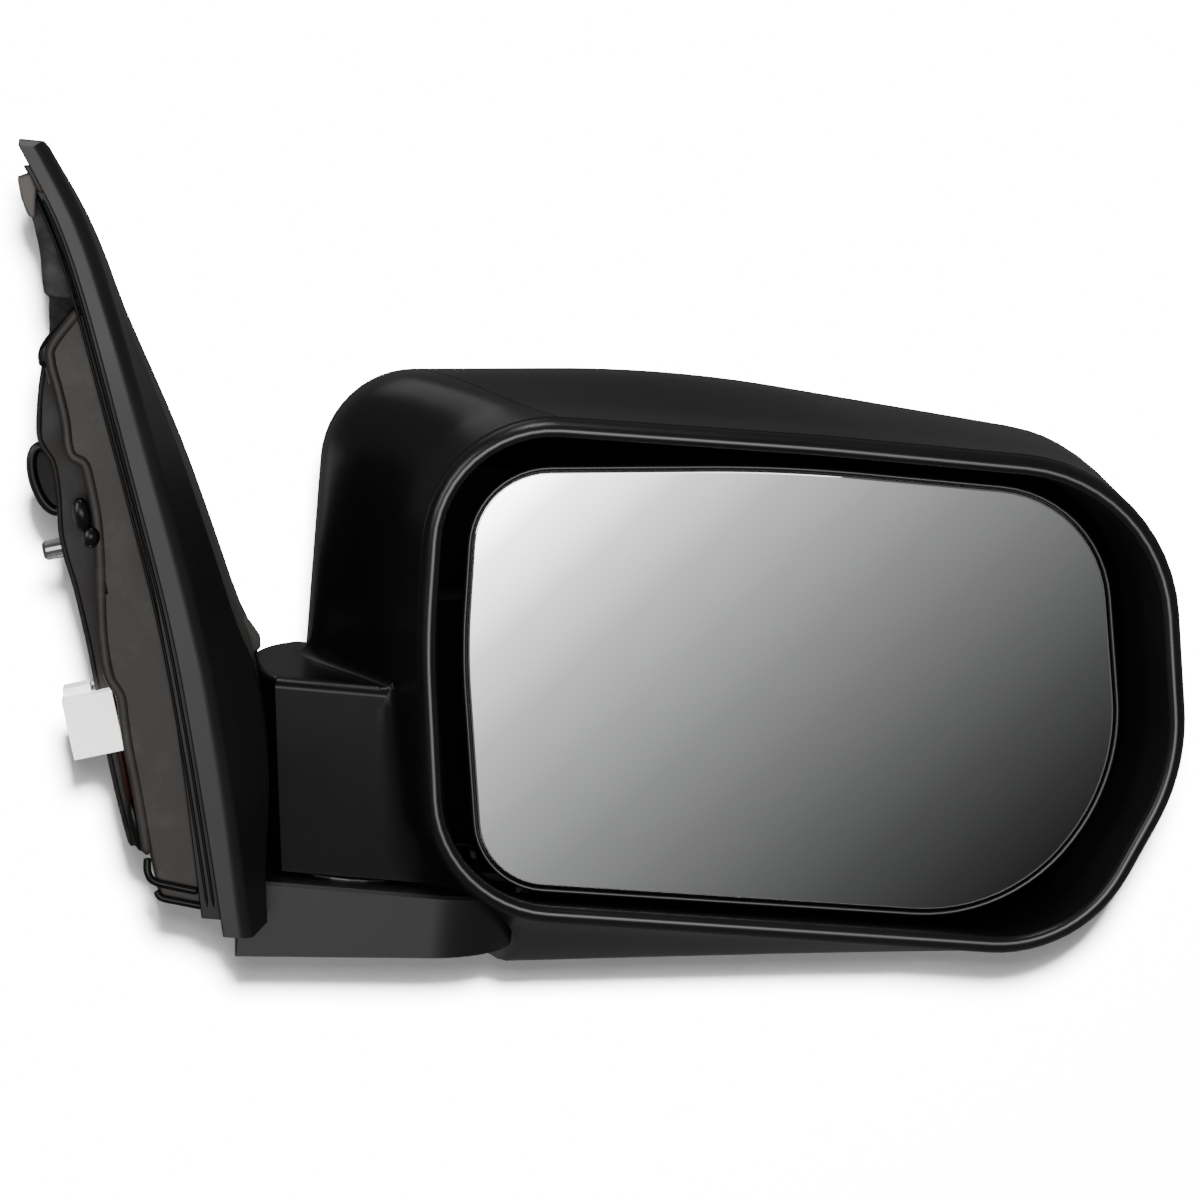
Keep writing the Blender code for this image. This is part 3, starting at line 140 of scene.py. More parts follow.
def rounded_loop(corners, arc_points=ARC, side_points=0):
    """Outline of straight sides joined by tangent arcs, from (u, v, radius) corners."""
    spots = [Vector(corner[:2]) for corner in corners]
    arcs, count = [], len(corners)
    for index, (spot, corner) in enumerate(zip(spots, corners)):
        radius = corner[2]
        back = (spots[index - 1] - spot).normalized()
        ahead = (spots[(index + 1) % count] - spot).normalized()
        half = math.acos(max(-1.0, min(1.0, back.dot(ahead)))) / 2
        if radius <= 0 or half > 1.5705:
            arcs.append([spot])
            continue
        start, end = spot + back * (radius / math.tan(half)), spot + ahead * (radius / math.tan(half))
        centre = spot + (back + ahead).normalized() * (radius / math.sin(half))
        sweep = (end - centre).angle_signed(start - centre)
        arcs.append([centre + Matrix.Rotation(sweep * step / arc_points, 2) @ (start - centre)
                     for step in range(arc_points + 1)])
    outline = []
    for index, arc in enumerate(arcs):
        outline += arc
        onward = arcs[(index + 1) % count][0]
        for step in range(side_points):
            outline.append(arc[-1].lerp(onward, (step + 1) / (side_points + 1)))
    return outline


def rear_loop(corners, y, arc_points=ARC, side_points=2):
    """Outline seen from behind, placed at a depth."""
    return [Vector((spot.x, y, spot.y)) for spot in rounded_loop(corners, arc_points, side_points)]


def side_vectors(direction):
    """Two unit vectors square to a direction and to each other."""
    helper = Z_AXIS if abs(direction.z) < 0.9 else X_AXIS
    first = helper.cross(direction).normalized()
    return first, direction.cross(first).normalized()


def turns(steps):
    """Angles of a full turn in even steps."""
    return [math.tau * step / steps for step in range(steps)]


def turned(name, centre, direction, profile, finish=None, ring=False, steps=40):
    """Turned solid: profile is (radius, distance along the direction) pairs."""
    first, second = side_vectors(direction)
    loops = []
    for radius, along in profile:
        loops.append([Vector(centre) + direction * along
                      + (first * math.cos(a) + second * math.sin(a)) * radius for a in turns(steps)])
    return skin(name, loops, finish, ring)


def rod(name, centre, direction, radius, low, high, finish=None, steps=40):
    return turned(name, centre, direction, [(radius, low), (radius, high)], finish, steps=steps)


def block(name, low, high, finish=None):
    """Box between two corners."""
    outline = [(low[0], low[1]), (high[0], low[1]), (high[0], high[1]), (low[0], high[1])]
    return skin(name, [[Vector((x, y, z)) for x, y in outline] for z in (low[2], high[2])], finish)


def frame_block(name, centre, size, axes, finish=None):
    """Box of a size about a centre, along three unit vectors."""
    half = [axis * (length / 2) for axis, length in zip(axes, size)]
    loops = []
    for end in (-1, 1):
        signs = [(-1, -1), (1, -1), (1, 1), (-1, 1)]
        loops.append([Vector(centre) + half[0] * a + half[1] * b + half[2] * end for a, b in signs])
    return skin(name, loops, finish)


def inset(corners, depth):
    """Corners of an outline moved inwards by a depth, or outwards by a negative one."""
    spots = [Vector(corner[:2]) for corner in corners]
    area = sum(a.cross(b) for a, b in zip(spots, spots[1:] + spots[:1]))
    turn = math.copysign(1.0, area)
    moved, count = [], len(corners)
    for index, (spot, corner) in enumerate(zip(spots, corners)):
        along = (spot - spots[index - 1]).normalized()
        ahead = (spots[(index + 1) % count] - spot).normalized()
        normal = (Vector((-along.y, along.x)) + Vector((-ahead.y, ahead.x))) * turn
        shift = normal.normalized() * (depth / max(0.2, normal.length / 2))
        moved.append((spot.x + shift.x, spot.y + shift.y, max(0.5, corner[2] - depth)))
    return moved


def mix(first, second, share):
    """Corners part of the way from one outline to another."""
    return [tuple(a + (b - a) * share for a, b in zip(one, two)) for one, two in zip(first, second)]


def plan_loop(corners, z, arc_points=ARC):
    """Outline seen from above, placed at a height."""
    return [Vector((spot.x, spot.y, z)) for spot in rounded_loop(corners, arc_points)]


def smooth_value(points, at):
    """Smooth curve through (position, value) pairs."""
    last = len(points) - 2
    index = max(i for i in range(last + 1) if i == 0 or at >= points[i][0])
    (p1, v1), (p2, v2) = points[index], points[index + 1]
    p0, v0 = points[index - 1] if index else (2 * p1 - p2, 2 * v1 - v2)
    p3, v3 = points[index + 2] if index < last else (2 * p2 - p1, 2 * v2 - v1)
    span, share = p2 - p1, (at - p1) / (p2 - p1)
    slope1, slope2 = (v2 - v0) / (p2 - p0) * span, (v3 - v1) / (p3 - p1) * span
    square, cube = share * share, share ** 3
    return (v1 * (2 * cube - 3 * square + 1) + slope1 * (cube - 2 * square + share)
            + v2 * (3 * square - 2 * cube) + slope2 * (cube - square))


def combine(target, operation, others):
    for other in others:
        step = target.modifiers.new(other.name, "BOOLEAN")
        step.operation = operation
        step.solver = "EXACT"
        step.object = other
    return target


def cut(target, *others):
    return combine(target, "DIFFERENCE", others)


def fuse(target, *others):
    return combine(target, "UNION", others)


def keep(target, *others):
    return combine(target, "INTERSECT", others)


# --- Finishes ---
MATERIALS = {}


def link(tree, source, output, target, entry):
    tree.links.new(source.outputs[output], target.inputs[entry])


def add_node(tree, kind, **values):
    """Shader node of a kind with some inputs set; an underscore stands for a space."""
    node = tree.nodes.new("ShaderNode" + kind)
    for entry, value in values.items():
        node.inputs[entry.replace("_", " ")].default_value = value
    return node


def ramp_node(tree, stops):
    """Colour ramp through (position, colour) stops."""
    node = add_node(tree, "ValToRGB")
    while len(node.color_ramp.elements) < len(stops):
        node.color_ramp.elements.new(0.5)
    for element, (position, colour) in zip(node.color_ramp.elements, stops):
        element.position = position
        element.color = (*colour, 1.0)
    return node


def new_material(name):
    """Material and its node tree."""
    material = bpy.data.materials.new(name)
    material.use_nodes = True
    return material, material.node_tree


def finish(name, dark, light, roughness, spread, metallic, grain, relief, blotch, specular):
    """Procedural finish: blotches between two colours, uneven gloss and a fine raised grain.

    grain and blotch are in features per metre; relief is the grain's height in millimetres.
    """
    material, tree = new_material(name)
    shader = tree.nodes["Principled BSDF"]
    shader.inputs["Metallic"].default_value = metallic
    shader.inputs["Specular IOR Level"].default_value = specular
    where = add_node(tree, "TexCoord")
    wide = add_node(tree, "TexNoise", Scale=blotch, Detail=5.0)
    fine = add_node(tree, "TexNoise", Scale=grain, Detail=2.0)
    tint = ramp_node(tree, [(0.36, dark), (0.66, light)])
    gloss = add_node(tree, "MapRange", From_Min=0.3, From_Max=0.7, To_Min=roughness - spread,
                     To_Max=roughness + spread)
    bump = add_node(tree, "Bump", Strength=1.0, Distance=relief * MM)
    link(tree, where, "Object", wide, "Vector")
    link(tree, where, "Object", fine, "Vector")
    link(tree, wide, "Fac", tint, "Fac")
    link(tree, tint, "Color", shader, "Base Color")
    link(tree, wide, "Fac", gloss, "Value")
    link(tree, gloss, "Result", shader, "Roughness")
    link(tree, fine, "Fac", bump, "Height")
    link(tree, bump, "Normal", shader, "Normal")
    MATERIALS[name] = material


def dusty(name, colour, scale):
    """Pale dust in patches and scratches over a finish's colour."""
    tree = MATERIALS[name].node_tree
    shader, tint = tree.nodes["Principled BSDF"], tree.nodes["Color Ramp"]
    patch = add_node(tree, "TexNoise", Scale=scale, Detail=9.0, Roughness=0.7)
    mask = add_node(tree, "MapRange", From_Min=0.5, From_Max=0.75, To_Max=0.5)
    blend = add_node(tree, "Mix")
    blend.data_type = "RGBA"
    base, dust, result = 6, 7, 2      # the node's colour sockets, which share their names
    link(tree, tree.nodes["Texture Coordinate"], "Object", patch, "Vector")
    link(tree, patch, "Fac", mask, "Value")
    link(tree, mask, "Result", blend, "Factor")
    link(tree, tint, "Color", blend, base)
    blend.inputs[dust].default_value = (*colour, 1.0)
    link(tree, blend, result, shader, "Base Color")


# Finishes: name, dark and light colour, roughness and its spread, metallic, grain, relief.
FINISHES = [
    ("satin_black", (0.0045, 0.0045, 0.005), (0.006, 0.006, 0.0066), 0.3, 0.025, 0.0, 3800.0, 0.006),
    ("base_black", (0.017, 0.0165, 0.0155), (0.021, 0.0202, 0.019), 0.38, 0.03, 0.0, 3000.0, 0.01),
    ("gloss_black", (0.004, 0.004, 0.0045), (0.006, 0.006, 0.0065), 0.3, 0.02, 0.0, 3800.0, 0.004),
    ("tray_grey", (0.036, 0.03, 0.026), (0.07, 0.061, 0.054), 0.52, 0.08, 0.0, 1500.0, 0.03),
    ("black_rubber", (0.008, 0.008, 0.008), (0.013, 0.013, 0.0125), 0.5, 0.06, 0.0, 1800.0, 0.02),
    ("foam", (0.06, 0.06, 0.062), (0.14, 0.137, 0.138), 0.95, 0.04, 0.0, 900.0, 0.35),
    ("white_nylon", (0.7, 0.71, 0.7), (0.8, 0.81, 0.79), 0.42, 0.05, 0.0, 1500.0, 0.01),
    ("grey_nylon", (0.1, 0.1, 0.1), (0.15, 0.15, 0.15), 0.5, 0.05, 0.0, 1500.0, 0.015),
    ("natural_nylon", (0.6, 0.57, 0.48), (0.7, 0.67, 0.58), 0.42, 0.05, 0.0, 1500.0, 0.01),
    ("zinc_steel", (0.45, 0.45, 0.44), (0.62, 0.62, 0.6), 0.3, 0.08, 1.0, 1800.0, 0.006),
    ("spring_steel", (0.22, 0.22, 0.23), (0.34, 0.34, 0.35), 0.36, 0.08, 1.0, 1800.0, 0.008),
    ("diecast", (0.3, 0.3, 0.31), (0.45, 0.45, 0.46), 0.5, 0.08, 1.0, 900.0, 0.04),
    ("brass", (0.55, 0.37, 0.13), (0.7, 0.5, 0.2), 0.28, 0.06, 1.0, 1800.0, 0.005),
    ("loom", (0.008, 0.008, 0.008), (0.02, 0.02, 0.02), 0.6, 0.1, 0.0, 700.0, 0.3),
    # This finish is also put on the head frame and screws inside the head, as painted shade.
    ("tunnel_black_and_painted_shade", (0.004, 0.004, 0.0042), (0.006, 0.006, 0.0062), 0.6, 0.05, 0.0, 3000.0, 0.01),
    # This finish is tray grey darkened: painted shade on the recessed inner wall and the web inside the
    # catch.
    ("tray_painted_shade", (0.012, 0.0105, 0.0095), (0.03, 0.026, 0.023), 0.55, 0.08, 0.0, 1500.0, 0.03),
    ("seal_tan", (0.17, 0.155, 0.14), (0.26, 0.24, 0.22), 0.55, 0.06, 0.0, 1500.0, 0.02),
    ("wire_red", (0.045, 0.014, 0.01), (0.08, 0.026, 0.018), 0.4, 0.05, 0.0, 1500.0, 0.01),
    ("mirror", (0.83, 0.845, 0.85), (0.85, 0.86, 0.865), 0.012, 0.003, 1.0, 40.0, 0.0),
]
# Blotch scale and specular level of the finishes where they aren't the usual ones.
USUAL_LOOK = (28.0, 0.5)
LOOKS = {"tray_grey": (42.0, 0.5), "foam": (160.0, 0.2), "loom": (300.0, 0.5), "tunnel_black_and_painted_shade": (28.0, 0.15),
         "tray_painted_shade": (70.0, 0.5), "mirror": (6.0, 0.5)}


def make_finishes():
    for row in FINISHES:
        finish(*row, *LOOKS.get(row[0], USUAL_LOOK))
    dusty("tray_grey", (0.13, 0.115, 0.1), 75.0)
    dusty("foam", (0.16, 0.14, 0.12), 240.0)


# --- Finishing a piece ---
def bake(piece, edge=0.0, sharp=32.0, segments=2):
    """Apply the piece's cuts, round its sharp edges by a width in millimetres and shade it smooth."""
    others = [step.object for step in piece.modifiers if step.type == "BOOLEAN"]
    graph = bpy.context.evaluated_depsgraph_get()
    mesh = bpy.data.meshes.new_from_object(piece.evaluated_get(graph), depsgraph=graph)
    piece.modifiers.clear()
    piece.data = mesh
    for other in others:
        remove(other)
    work = bmesh.new()
    work.from_mesh(mesh)
    bmesh.ops.remove_doubles(work, verts=work.verts, dist=0.00002)
    bmesh.ops.dissolve_degenerate(work, edges=work.edges, dist=0.00001)
    work.to_mesh(mesh)
    work.free()
    if edge:
        step = piece.modifiers.new("edge", "BEVEL")
        step.width = edge * MM
        step.segments = segments
        step.limit_method = "ANGLE"
        step.angle_limit = math.radians(sharp)
        step.harden_normals = False
        step.use_clamp_overlap = True
        step.miter_outer = "MITER_ARC"
    mesh.shade_smooth()
    if not edge:
        mesh.set_sharp_from_angle(angle=math.radians(sharp))
    even = piece.modifiers.new("even", "WEIGHTED_NORMAL")
    even.keep_sharp = True
    even.weight = 50
    return piece


def remove(other):
    for step in list(other.modifiers):
        if step.type == "BOOLEAN" and step.object:
            remove(step.object)
    bpy.data.objects.remove(other, do_unlink=True)


def place(piece, body, slot, *nodes):
    """A finished piece rides on its body and stands for the CAD nodes it shows."""
    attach(piece, body)
    if nodes:
        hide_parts(*nodes)
    return piece


# --- Door base ---
def seam_x(z):
    return smooth_value(SEAM_X, z)


def front_y(z):
    return smooth_value(SAIL_FRONT, z)


def door_x(z):
    return -DOOR_LEAN * z


def sail_section(z, wall=0.0, inboard=0.0, column_wall=0.0):
    """Plan outline of the sail at a height, thinned by a wall and opened inboard."""
    rear, front = SAIL_REAR + wall, front_y(z) - wall
    length = front - rear
    left = seam_x(z) - inboard
    crease = seam_x(z) + SAIL_THICK - wall
    bulge = crease + max(0.4, smooth_value(FLARE_X, z) - column_wall)
    corner = 5.0 if wall == 0.0 else 0.6
    return [(left, rear, 0.5), (crease, rear, corner), (bulge, rear + min(25, 0.3 * length), 4.0),
            (bulge, front - min(42, 0.3 * length), 8.0), (crease, front, corner), (left, front, 0.5)]


def sail_stack(name, heights, **shape):
    return skin(name, [plan_loop(sail_section(z, **shape), z, 2) for z in heights])


def foot_plan(depth, low_x=50.5):
    half = FOOT_HALF_WIDTH - depth
    return [(low_x, -half, 0.5), (FOOT_END - depth, -half, half - 6.0),
            (FOOT_END - depth, half, half - 6.0), (low_x, half, 0.5)]


def foot_bottom(name, depth, thickness=30.0):
    """Sloping slab that trims the foot from below; depth lifts it."""
    slope = Vector((1.0, 0.0, 0.072)).normalized()
    below = Vector((0.072, 0.0, -1.0)).normalized()
    top = Vector((65.0, 0.0, -105.2 + depth))
    return frame_block(name, top + below * (thickness / 2), (240, 120, thickness), (slope, Y_AXIS, below))


def foot_level(x):
    """Height of the foot's lower rim."""
    return -105.2 + 0.072 * (x - 65.0)


def fine_heights(heights):
    """The heights with one more between each two."""
    middles = [(a + b) / 2 for a, b in zip(heights, heights[1:])]
    return sorted(heights + middles)


def make_sail_shell():
    loops = [plan_loop(sail_section(z), z) for z in fine_heights(SAIL_HEIGHTS)]
    tip = [(x, y, r) for x, y, r in sail_section(SAIL_HEIGHTS[-1], wall=1.6)]
    loops.append(plan_loop(tip, SAIL_HEIGHTS[-1] + 1.6))
    shell = skin("sail_skin", loops, "base_black")
    foot = skin("foot_block", [plan_loop(foot_plan(0.0), z) for z in (-110.0, FOOT_TOP - 1.0)]
                + [plan_loop(foot_plan(1.0), FOOT_TOP)])
    fuse(shell, foot)
    cavity = sail_stack("sail_cavity", [-88] + SAIL_HEIGHTS[2:-3] + [126], wall=SAIL_WALL,
                        inboard=25.0, column_wall=7.5)
    foot_room = skin("foot_cavity", [plan_loop(foot_plan(3.5, 54.0), z) for z in (-112.0, -87.0)])
    radii = [(NECK_RADIUS_BOTTOM + POCKET_GAP, FOOT_TOP + 0.2), (NECK_RADIUS_TOP + POCKET_GAP, NECK_TOP),
             (NECK_RADIUS_TOP + POCKET_GAP, NECK_TOP + 12)]
    pocket = turned("neck_pocket", FOLD_AXIS, Z_AXIS, radii, steps=48)
    bore = rod("pivot_bore", FOLD_AXIS, Z_AXIS, TUBE_RADIUS + 0.3, -95.0, -70.0, steps=32)
    recess = rod("detent_recess", FOLD_AXIS, Z_AXIS, 22.4, FOOT_TOP - 3.2, -70.0, steps=32)
    duct = rod("harness_duct", Vector((48.6, -44.0, -62.0)), Vector((2.6, 8.5, -20.0)).normalized(),
               5.3, -6.0, 26.0, steps=16)
    lower_duct = block("harness_duct_low", (40.5, -40, -91.6), (56.3, -24, -81.6))
    foot_duct = block("harness_duct_foot", (51.2, -30.2, -91.6), (64.5, -11, -83.4))
    cut(shell, foot_bottom("foot_trim", 0.0), cavity, foot_room, pocket, bore, recess)
    cut(shell, lower_duct, foot_duct, duct)
    for number, (y, z) in enumerate(SAIL_SCREWS, 1):
        spot = Vector((seam_x(z), y, z))
        fuse(shell, rod(f"sail_boss_{number}", spot, DOOR_NORMAL, 4.2, 2.6, 16.0, steps=14))
        cut(shell, rod(f"sail_boss_hole_{number}", spot, DOOR_NORMAL, 1.9, 0.0, 11.4, steps=14))
    for number, (x, y) in enumerate(COVER_SCREWS, 1):
        spot = Vector((x, y, 0))
        low = foot_level(x) + COVER_TOP + GAP
        fuse(shell, rod(f"cover_boss_{number}", spot, Z_AXIS, 4.0, low, -86.0, steps=14))
        cut(shell, rod(f"cover_boss_hole_{number}", spot, Z_AXIS, 1.9, -112.0, -90.0, steps=14))
    return shell


SAIL_SCREWS = [(-42.0, -8.0), (26.0, -10.0), (30.0, -66.0)]
COVER_SCREWS = [(58.0, 22.0), (118.0, 14.0)]
COVER_TOP = 4.4  # top face of the foot cover above the foot's lower rim
STUDS = [(-44.0, 20.0), (-14.0, -38.0), (42.0, -44.0)]
TRAY_HEIGHTS = [-84, -60, -30, 0, 30, 60, 90]


def tray_section(z, wall=0.0, inboard=0.0, depth=0.0):
    """Plan outline of the deep tray between the door face and the seam."""
    rear, front = -64.0 + wall, min(front_y(z) - 24.0, 60.0) - wall
    return [(door_x(z) - inboard, rear, 1.5), (seam_x(z) - depth, rear, 0.5),
            (seam_x(z) - depth, front, 0.5), (door_x(z) - inboard, front, 1.5)]


def flange_section(z):
    return [(seam_x(z) - 2.2, -65.0, 1.0), (seam_x(z) + 2.0, -65.0, 0.5),
            (seam_x(z) + 2.0, front_y(z) - 5.2, 0.5), (seam_x(z) - 2.2, front_y(z) - 5.2, 1.0)]


def make_base_frame():
    heights = [-86, -70, -50, -30, -10, 10, 30, 50, 70, 90, 106, 124, 132]
    frame = skin("base_tray", [plan_loop(flange_section(z), z, 2) for z in heights], "tray_grey")
    tray = skin("tray_block", [plan_loop(tray_section(z), z, 3) for z in TRAY_HEIGHTS])
    rise, away = Vector((0.56, 0, 0.83)).normalized(), Vector((-0.83, 0, 0.56)).normalized()
    top_trim = frame_block("tray_top_trim", Vector((-23.3, 0, 78.6)) + away * 15, (90, 260, 30),
                           (rise, Y_AXIS, away))
    fuse(frame, cut(tray, top_trim))
    pocket = skin("tray_pocket", [plan_loop(tray_section(z, 3.0, 12.0, 2.4), z, 3)
                                  for z in [-80] + TRAY_HEIGHTS[1:-1] + [68]])
    notch = frame_block("tray_notch", DOOR_UP * 27.0 + Vector((0, -66, 0)), (9.0, 26.0, 40.0), DOOR_AXES)
    cut(frame, pocket)
    pads = [(0.0, 0.0, 9.0)] + [(y, z, 8.0) for y, z in STUDS]
    for number, (y, z, radius) in enumerate(pads):
        spot = Vector((door_x(z), y, z))
        reach = (seam_x(z) - door_x(z)) * DOOR_NORMAL.x
        fuse(frame, rod(f"door_pad_{number}", spot, DOOR_NORMAL, radius, 0.0, reach, steps=20))
    fuse(frame, frame_block("connector_bracket", CONNECTOR + DOOR_NORMAL * 19.2 + Vector((0, 9, 0)),
                            (20.0, 5.0, 3.0), DOOR_AXES))
    fuse(frame, frame_block("clip_pad", CLIP_CENTRE + DOOR_NORMAL * 10.0, (20.0, 9.0, 27.0), DOOR_AXES))
    cut(frame, notch)
    for number, (y, z) in enumerate(STUDS, 1):
        spot = Vector((door_x(z), y, z))
        cut(frame, rod(f"stud_hole_{number}", spot, DOOR_NORMAL, 3.0 + GAP, -5.0, 7.4, steps=20))
    for number, (y, z) in enumerate(SAIL_SCREWS, 1):
        spot = Vector((seam_x(z), y, z))
        cut(frame, rod(f"sail_screw_hole_{number}", spot, DOOR_NORMAL, 2.0, -8.0, 8.0, steps=14))
    cut(frame, rod("grommet_hole", GROMMET, DOOR_NORMAL, 6.6, -9.0, 9.0, steps=20))
    return frame


GROMMET = Vector((39.3, -44.0, -66.0))
CONNECTOR = DOOR_UP * -32.0 + Vector((0, -47, 0)) - DOOR_NORMAL * 8.6
CLIP_CENTRE = DOOR_UP * 41.0 + Vector((0, -22, 0))


def make_gasket():
    """Soft lip round the base frame's flange, wider towards the bottom."""
    def lip_section(z, rear, side, width):
        left = seam_x(z) - width * (2.3 + 3.6 * max(0.0, (20.0 - z) / 110.0))
        return [(left, rear, 0.4), (seam_x(z) + side, rear, 0.3),
                (seam_x(z) + side, front_y(z) - (rear + 70.0), 0.3), (left, front_y(z) - (rear + 70.0), 0.4)]
    heights = [-87.6, -70, -50, -30, -10, 10, 30, 50, 70, 90, 106, 120, 125]
    gasket = skin("sail_seal", [plan_loop(lip_section(z, -66.65, 4.6, 1.0), z, 2) for z in heights],
                  "black_rubber")
    inner = [-86.5] + heights[1:-1] + [131.5]
    core = skin("gasket_core", [plan_loop(lip_section(z, -65.35, 12.0, 6.0), z, 2) for z in inner])
    return cut(gasket, core)


def make_seal_pad():
    """Foam pad on the inboard side of the flange: across the top and down the front."""
    left = [(46, -25.5), (60, -24.5), (87, -23.5), (99, -25.5), (110, -27.2), (119, -29.5), (129, -35.5)]
    loops = []
    for z in (47, 58, 70, 80, 90, 92, 94, 106, 124, 129):
        rear = front_y(z) - 21.0 if z < 93 else -61.0
        corners = [(smooth_value(left, z), rear, 1.5), (seam_x(z) - 2.2 - GAP, rear, 0.5),
                   (seam_x(z) - 2.2 - GAP, front_y(z) - 7.0, 0.5),
                   (smooth_value(left, z), front_y(z) - 7.0, 1.5)]
        loops.append(plan_loop(corners, z, 2))
    return skin("seal_pad", loops, "foam")


# --- Folding head ---
def shell_loops(wall):
    """Head shell sections from the rear rim to the nose, thinned by a wall."""
    rim, widest = inset(RING_OUTLINE, wall), inset(SHELL_OUTLINE, wall)
    swell = [(RING_BACK, 0.0), (-31, 0.1), (-24, 0.22), (-12, 0.5), (0, 0.77), (10, 0.94),
             (SHELL_WIDEST, 1.0)]
    depths = [RING_BACK, -35.5, -33, -30, -27, -24, -20, -16, -12, -8, -4, 0, 3, 6, 9, 12, 15, 17.5,
              SHELL_WIDEST]
    loops = [rear_loop(mix(rim, widest, smooth_value(swell, y)), y) for y in depths]
    depth, flat = SHELL_NOSE - wall - SHELL_WIDEST, rounded_loop(widest, ARC, 2)
    for scale in (0.996, 0.985, 0.97, 0.95, 0.92, 0.89, 0.85, 0.8, 0.74, 0.67, 0.58, 0.48, 0.36, 0.25, 0.12):
        y = SHELL_WIDEST + depth * (1 - scale ** DOME_POWER) ** (1 / DOME_POWER)
        loops.append([Vector((DOME_CENTRE[0] + (spot.x - DOME_CENTRE[0]) * scale, y,
                              DOME_CENTRE[1] + (spot.y - DOME_CENTRE[1]) * scale)) for spot in flat])
    return loops


def seam_side(name, side, low, gap=0.0):
    """Half space on one side of the cap's seam, above a level."""
    along = Vector((-CAP_SEAM_NORMAL.y, CAP_SEAM_NORMAL.x, 0))
    centre = CAP_SEAM_POINT + CAP_SEAM_NORMAL * (200 * side - gap) + Z_AXIS * (low + 200)
    return frame_block(name, centre, (400, 500, 400), (CAP_SEAM_NORMAL, along, Z_AXIS))


def foot_sweep(name):
    """Room that the foot needs under the head through the whole fold."""
    space = rod(name, FOLD_AXIS, Z_AXIS, 56.4, -140.0, NECK_BOTTOM, steps=64)
    fuse(space, block(f"{name}_side", (-20, -120, -140), (112, 120, NECK_BOTTOM)))
    return space


def neck_loops(depth):
    """Neck sections: round about the fold axis at the inboard end, flat sides."""
    low, high = NECK_BOTTOM, NECK_TOP - depth
    steps = [(low + (2.4 if depth > 0 else 4 * depth), 0.0), (-60.0, 0.0), (-40.0, 0.0)]
    for step in range(9):
        angle = math.pi / 2 * step / 8
        steps.append((high - 3.4 + 3.4 * math.sin(angle), 3.4 - 3.4 * math.cos(angle)))
    loops = []
    for z, pinch in steps:
        share = (z - NECK_BOTTOM) / (NECK_TOP - NECK_BOTTOM)
        radius = NECK_RADIUS_BOTTOM + (NECK_RADIUS_TOP - NECK_RADIUS_BOTTOM) * share - depth - pinch
        rear, front = NECK_REAR + depth + pinch, min(NECK_FRONT - depth - pinch, radius - 1.5)
        first, last = math.pi + math.asin(-rear / radius), math.pi - math.asin(front / radius)
        loop = []
        for step in range(25):
            angle = first + (last - first) * step / 24
            loop.append((FOLD_AXIS.x + radius * math.cos(angle), radius * math.sin(angle)))
        loop += [(124.0 + 4 * abs(depth), front), (124.0 + 4 * abs(depth), rear)]
        loops.append([Vector((x, y, z + 0.08 * share * (y - 3.0))) for x, y in loop])
    return loops


def flank_x(section, z):
    """Inboard edge of a head section at a height."""
    pairs = [pair for pair in zip(section, section[1:] + section[:1]) if pair[0].z != pair[1].z]
    return min(p.lerp(q, (z - p.z) / (q.z - p.z)).x for p, q in pairs if (p.z - z) * (q.z - z) <= 0)


def hollow(start, root, end, steps):
    """Hollow curve from start to end that leans towards root."""
    shares = [step / steps for step in range(steps + 1)]
    return [start * (1 - t) ** 2 + root * (2 * t * (1 - t)) + end * t ** 2 for t in shares]


def neck_cove():
    """Hollow fillet that runs the neck's rear face into the head's flank, wider towards the bottom."""
    sections = shell_loops(0.0)
    deep, shallow = sections[5], sections[2]
    loops = []
    for z, width, sunk in [(NECK_BOTTOM, 15.0, 0.0), (-72, 13.5, 0.0), (-60, 12.0, 0.0), (-46, 10.5, 0.0),
                           (-34, 8.5, 0.0), (-26, 6.5, 0.0), (-22.5, 5.0, 0.4), (-20, 3.0, 1.6)]:
        root = Vector((flank_x(deep, z), NECK_REAR + sunk))
        start = root - Vector((width, 0.0))
        end = Vector((flank_x(shallow, z), shallow[0].y))
        curve = hollow(start, root, end, 12)
        curve += [end + Vector((1.8, 1.2)), root + Vector((1.8, 2.0)), start + Vector((0.0, 1.6))]
        loops.append([Vector((spot.x, spot.y, z)) for spot in curve])
    return skin("neck_cove", loops)


def top_cove():
    """Hollow fillet where the neck's top runs up into the head's flank."""
    loops = []
    for number, section in enumerate(shell_loops(0.0)[5:16]):
        y = section[0].y
        level, width = NECK_TOP + 0.08 * (y - 3.0) - 0.2, 4.5 + 0.35 * number
        root = Vector((flank_x(section, level), level))
        start, end = root - Vector((width, 0.0)), Vector((flank_x(section, level + width), level + width))
        curve = hollow(start, root, end, 8)
        curve += [end + Vector((1.8, -0.4)), root + Vector((1.8, -1.6)), start + Vector((0.0, -1.6))]
        loops.append([Vector((spot.x, y + (0.6 if number == 0 else 0.0), spot.y)) for spot in curve])
    return skin("top_cove", loops)


def tunnel_outside(depth):
    """Outlines just outside the bezel's tunnel wall, from the rim to the tunnel's back."""
    front, back = inset(RING_OUTLINE, RING_WIDTH), TUNNEL_OUTLINE
    share = (RING_BACK + 2.0 + 42.0) / (TUNNEL_BACK + 42.0)
    return inset(mix(front, back, share), -depth), inset(back, -depth)


def tunnel_room(name):
    """Room that the bezel's tunnel takes up inside the head."""
    front, back = tunnel_outside(2.2 + GAP)
    return skin(name, [rear_loop(front, RING_BACK - 6), rear_loop(front, RING_BACK + 2),
                       rear_loop(back, TUNNEL_BACK + 0.4)])


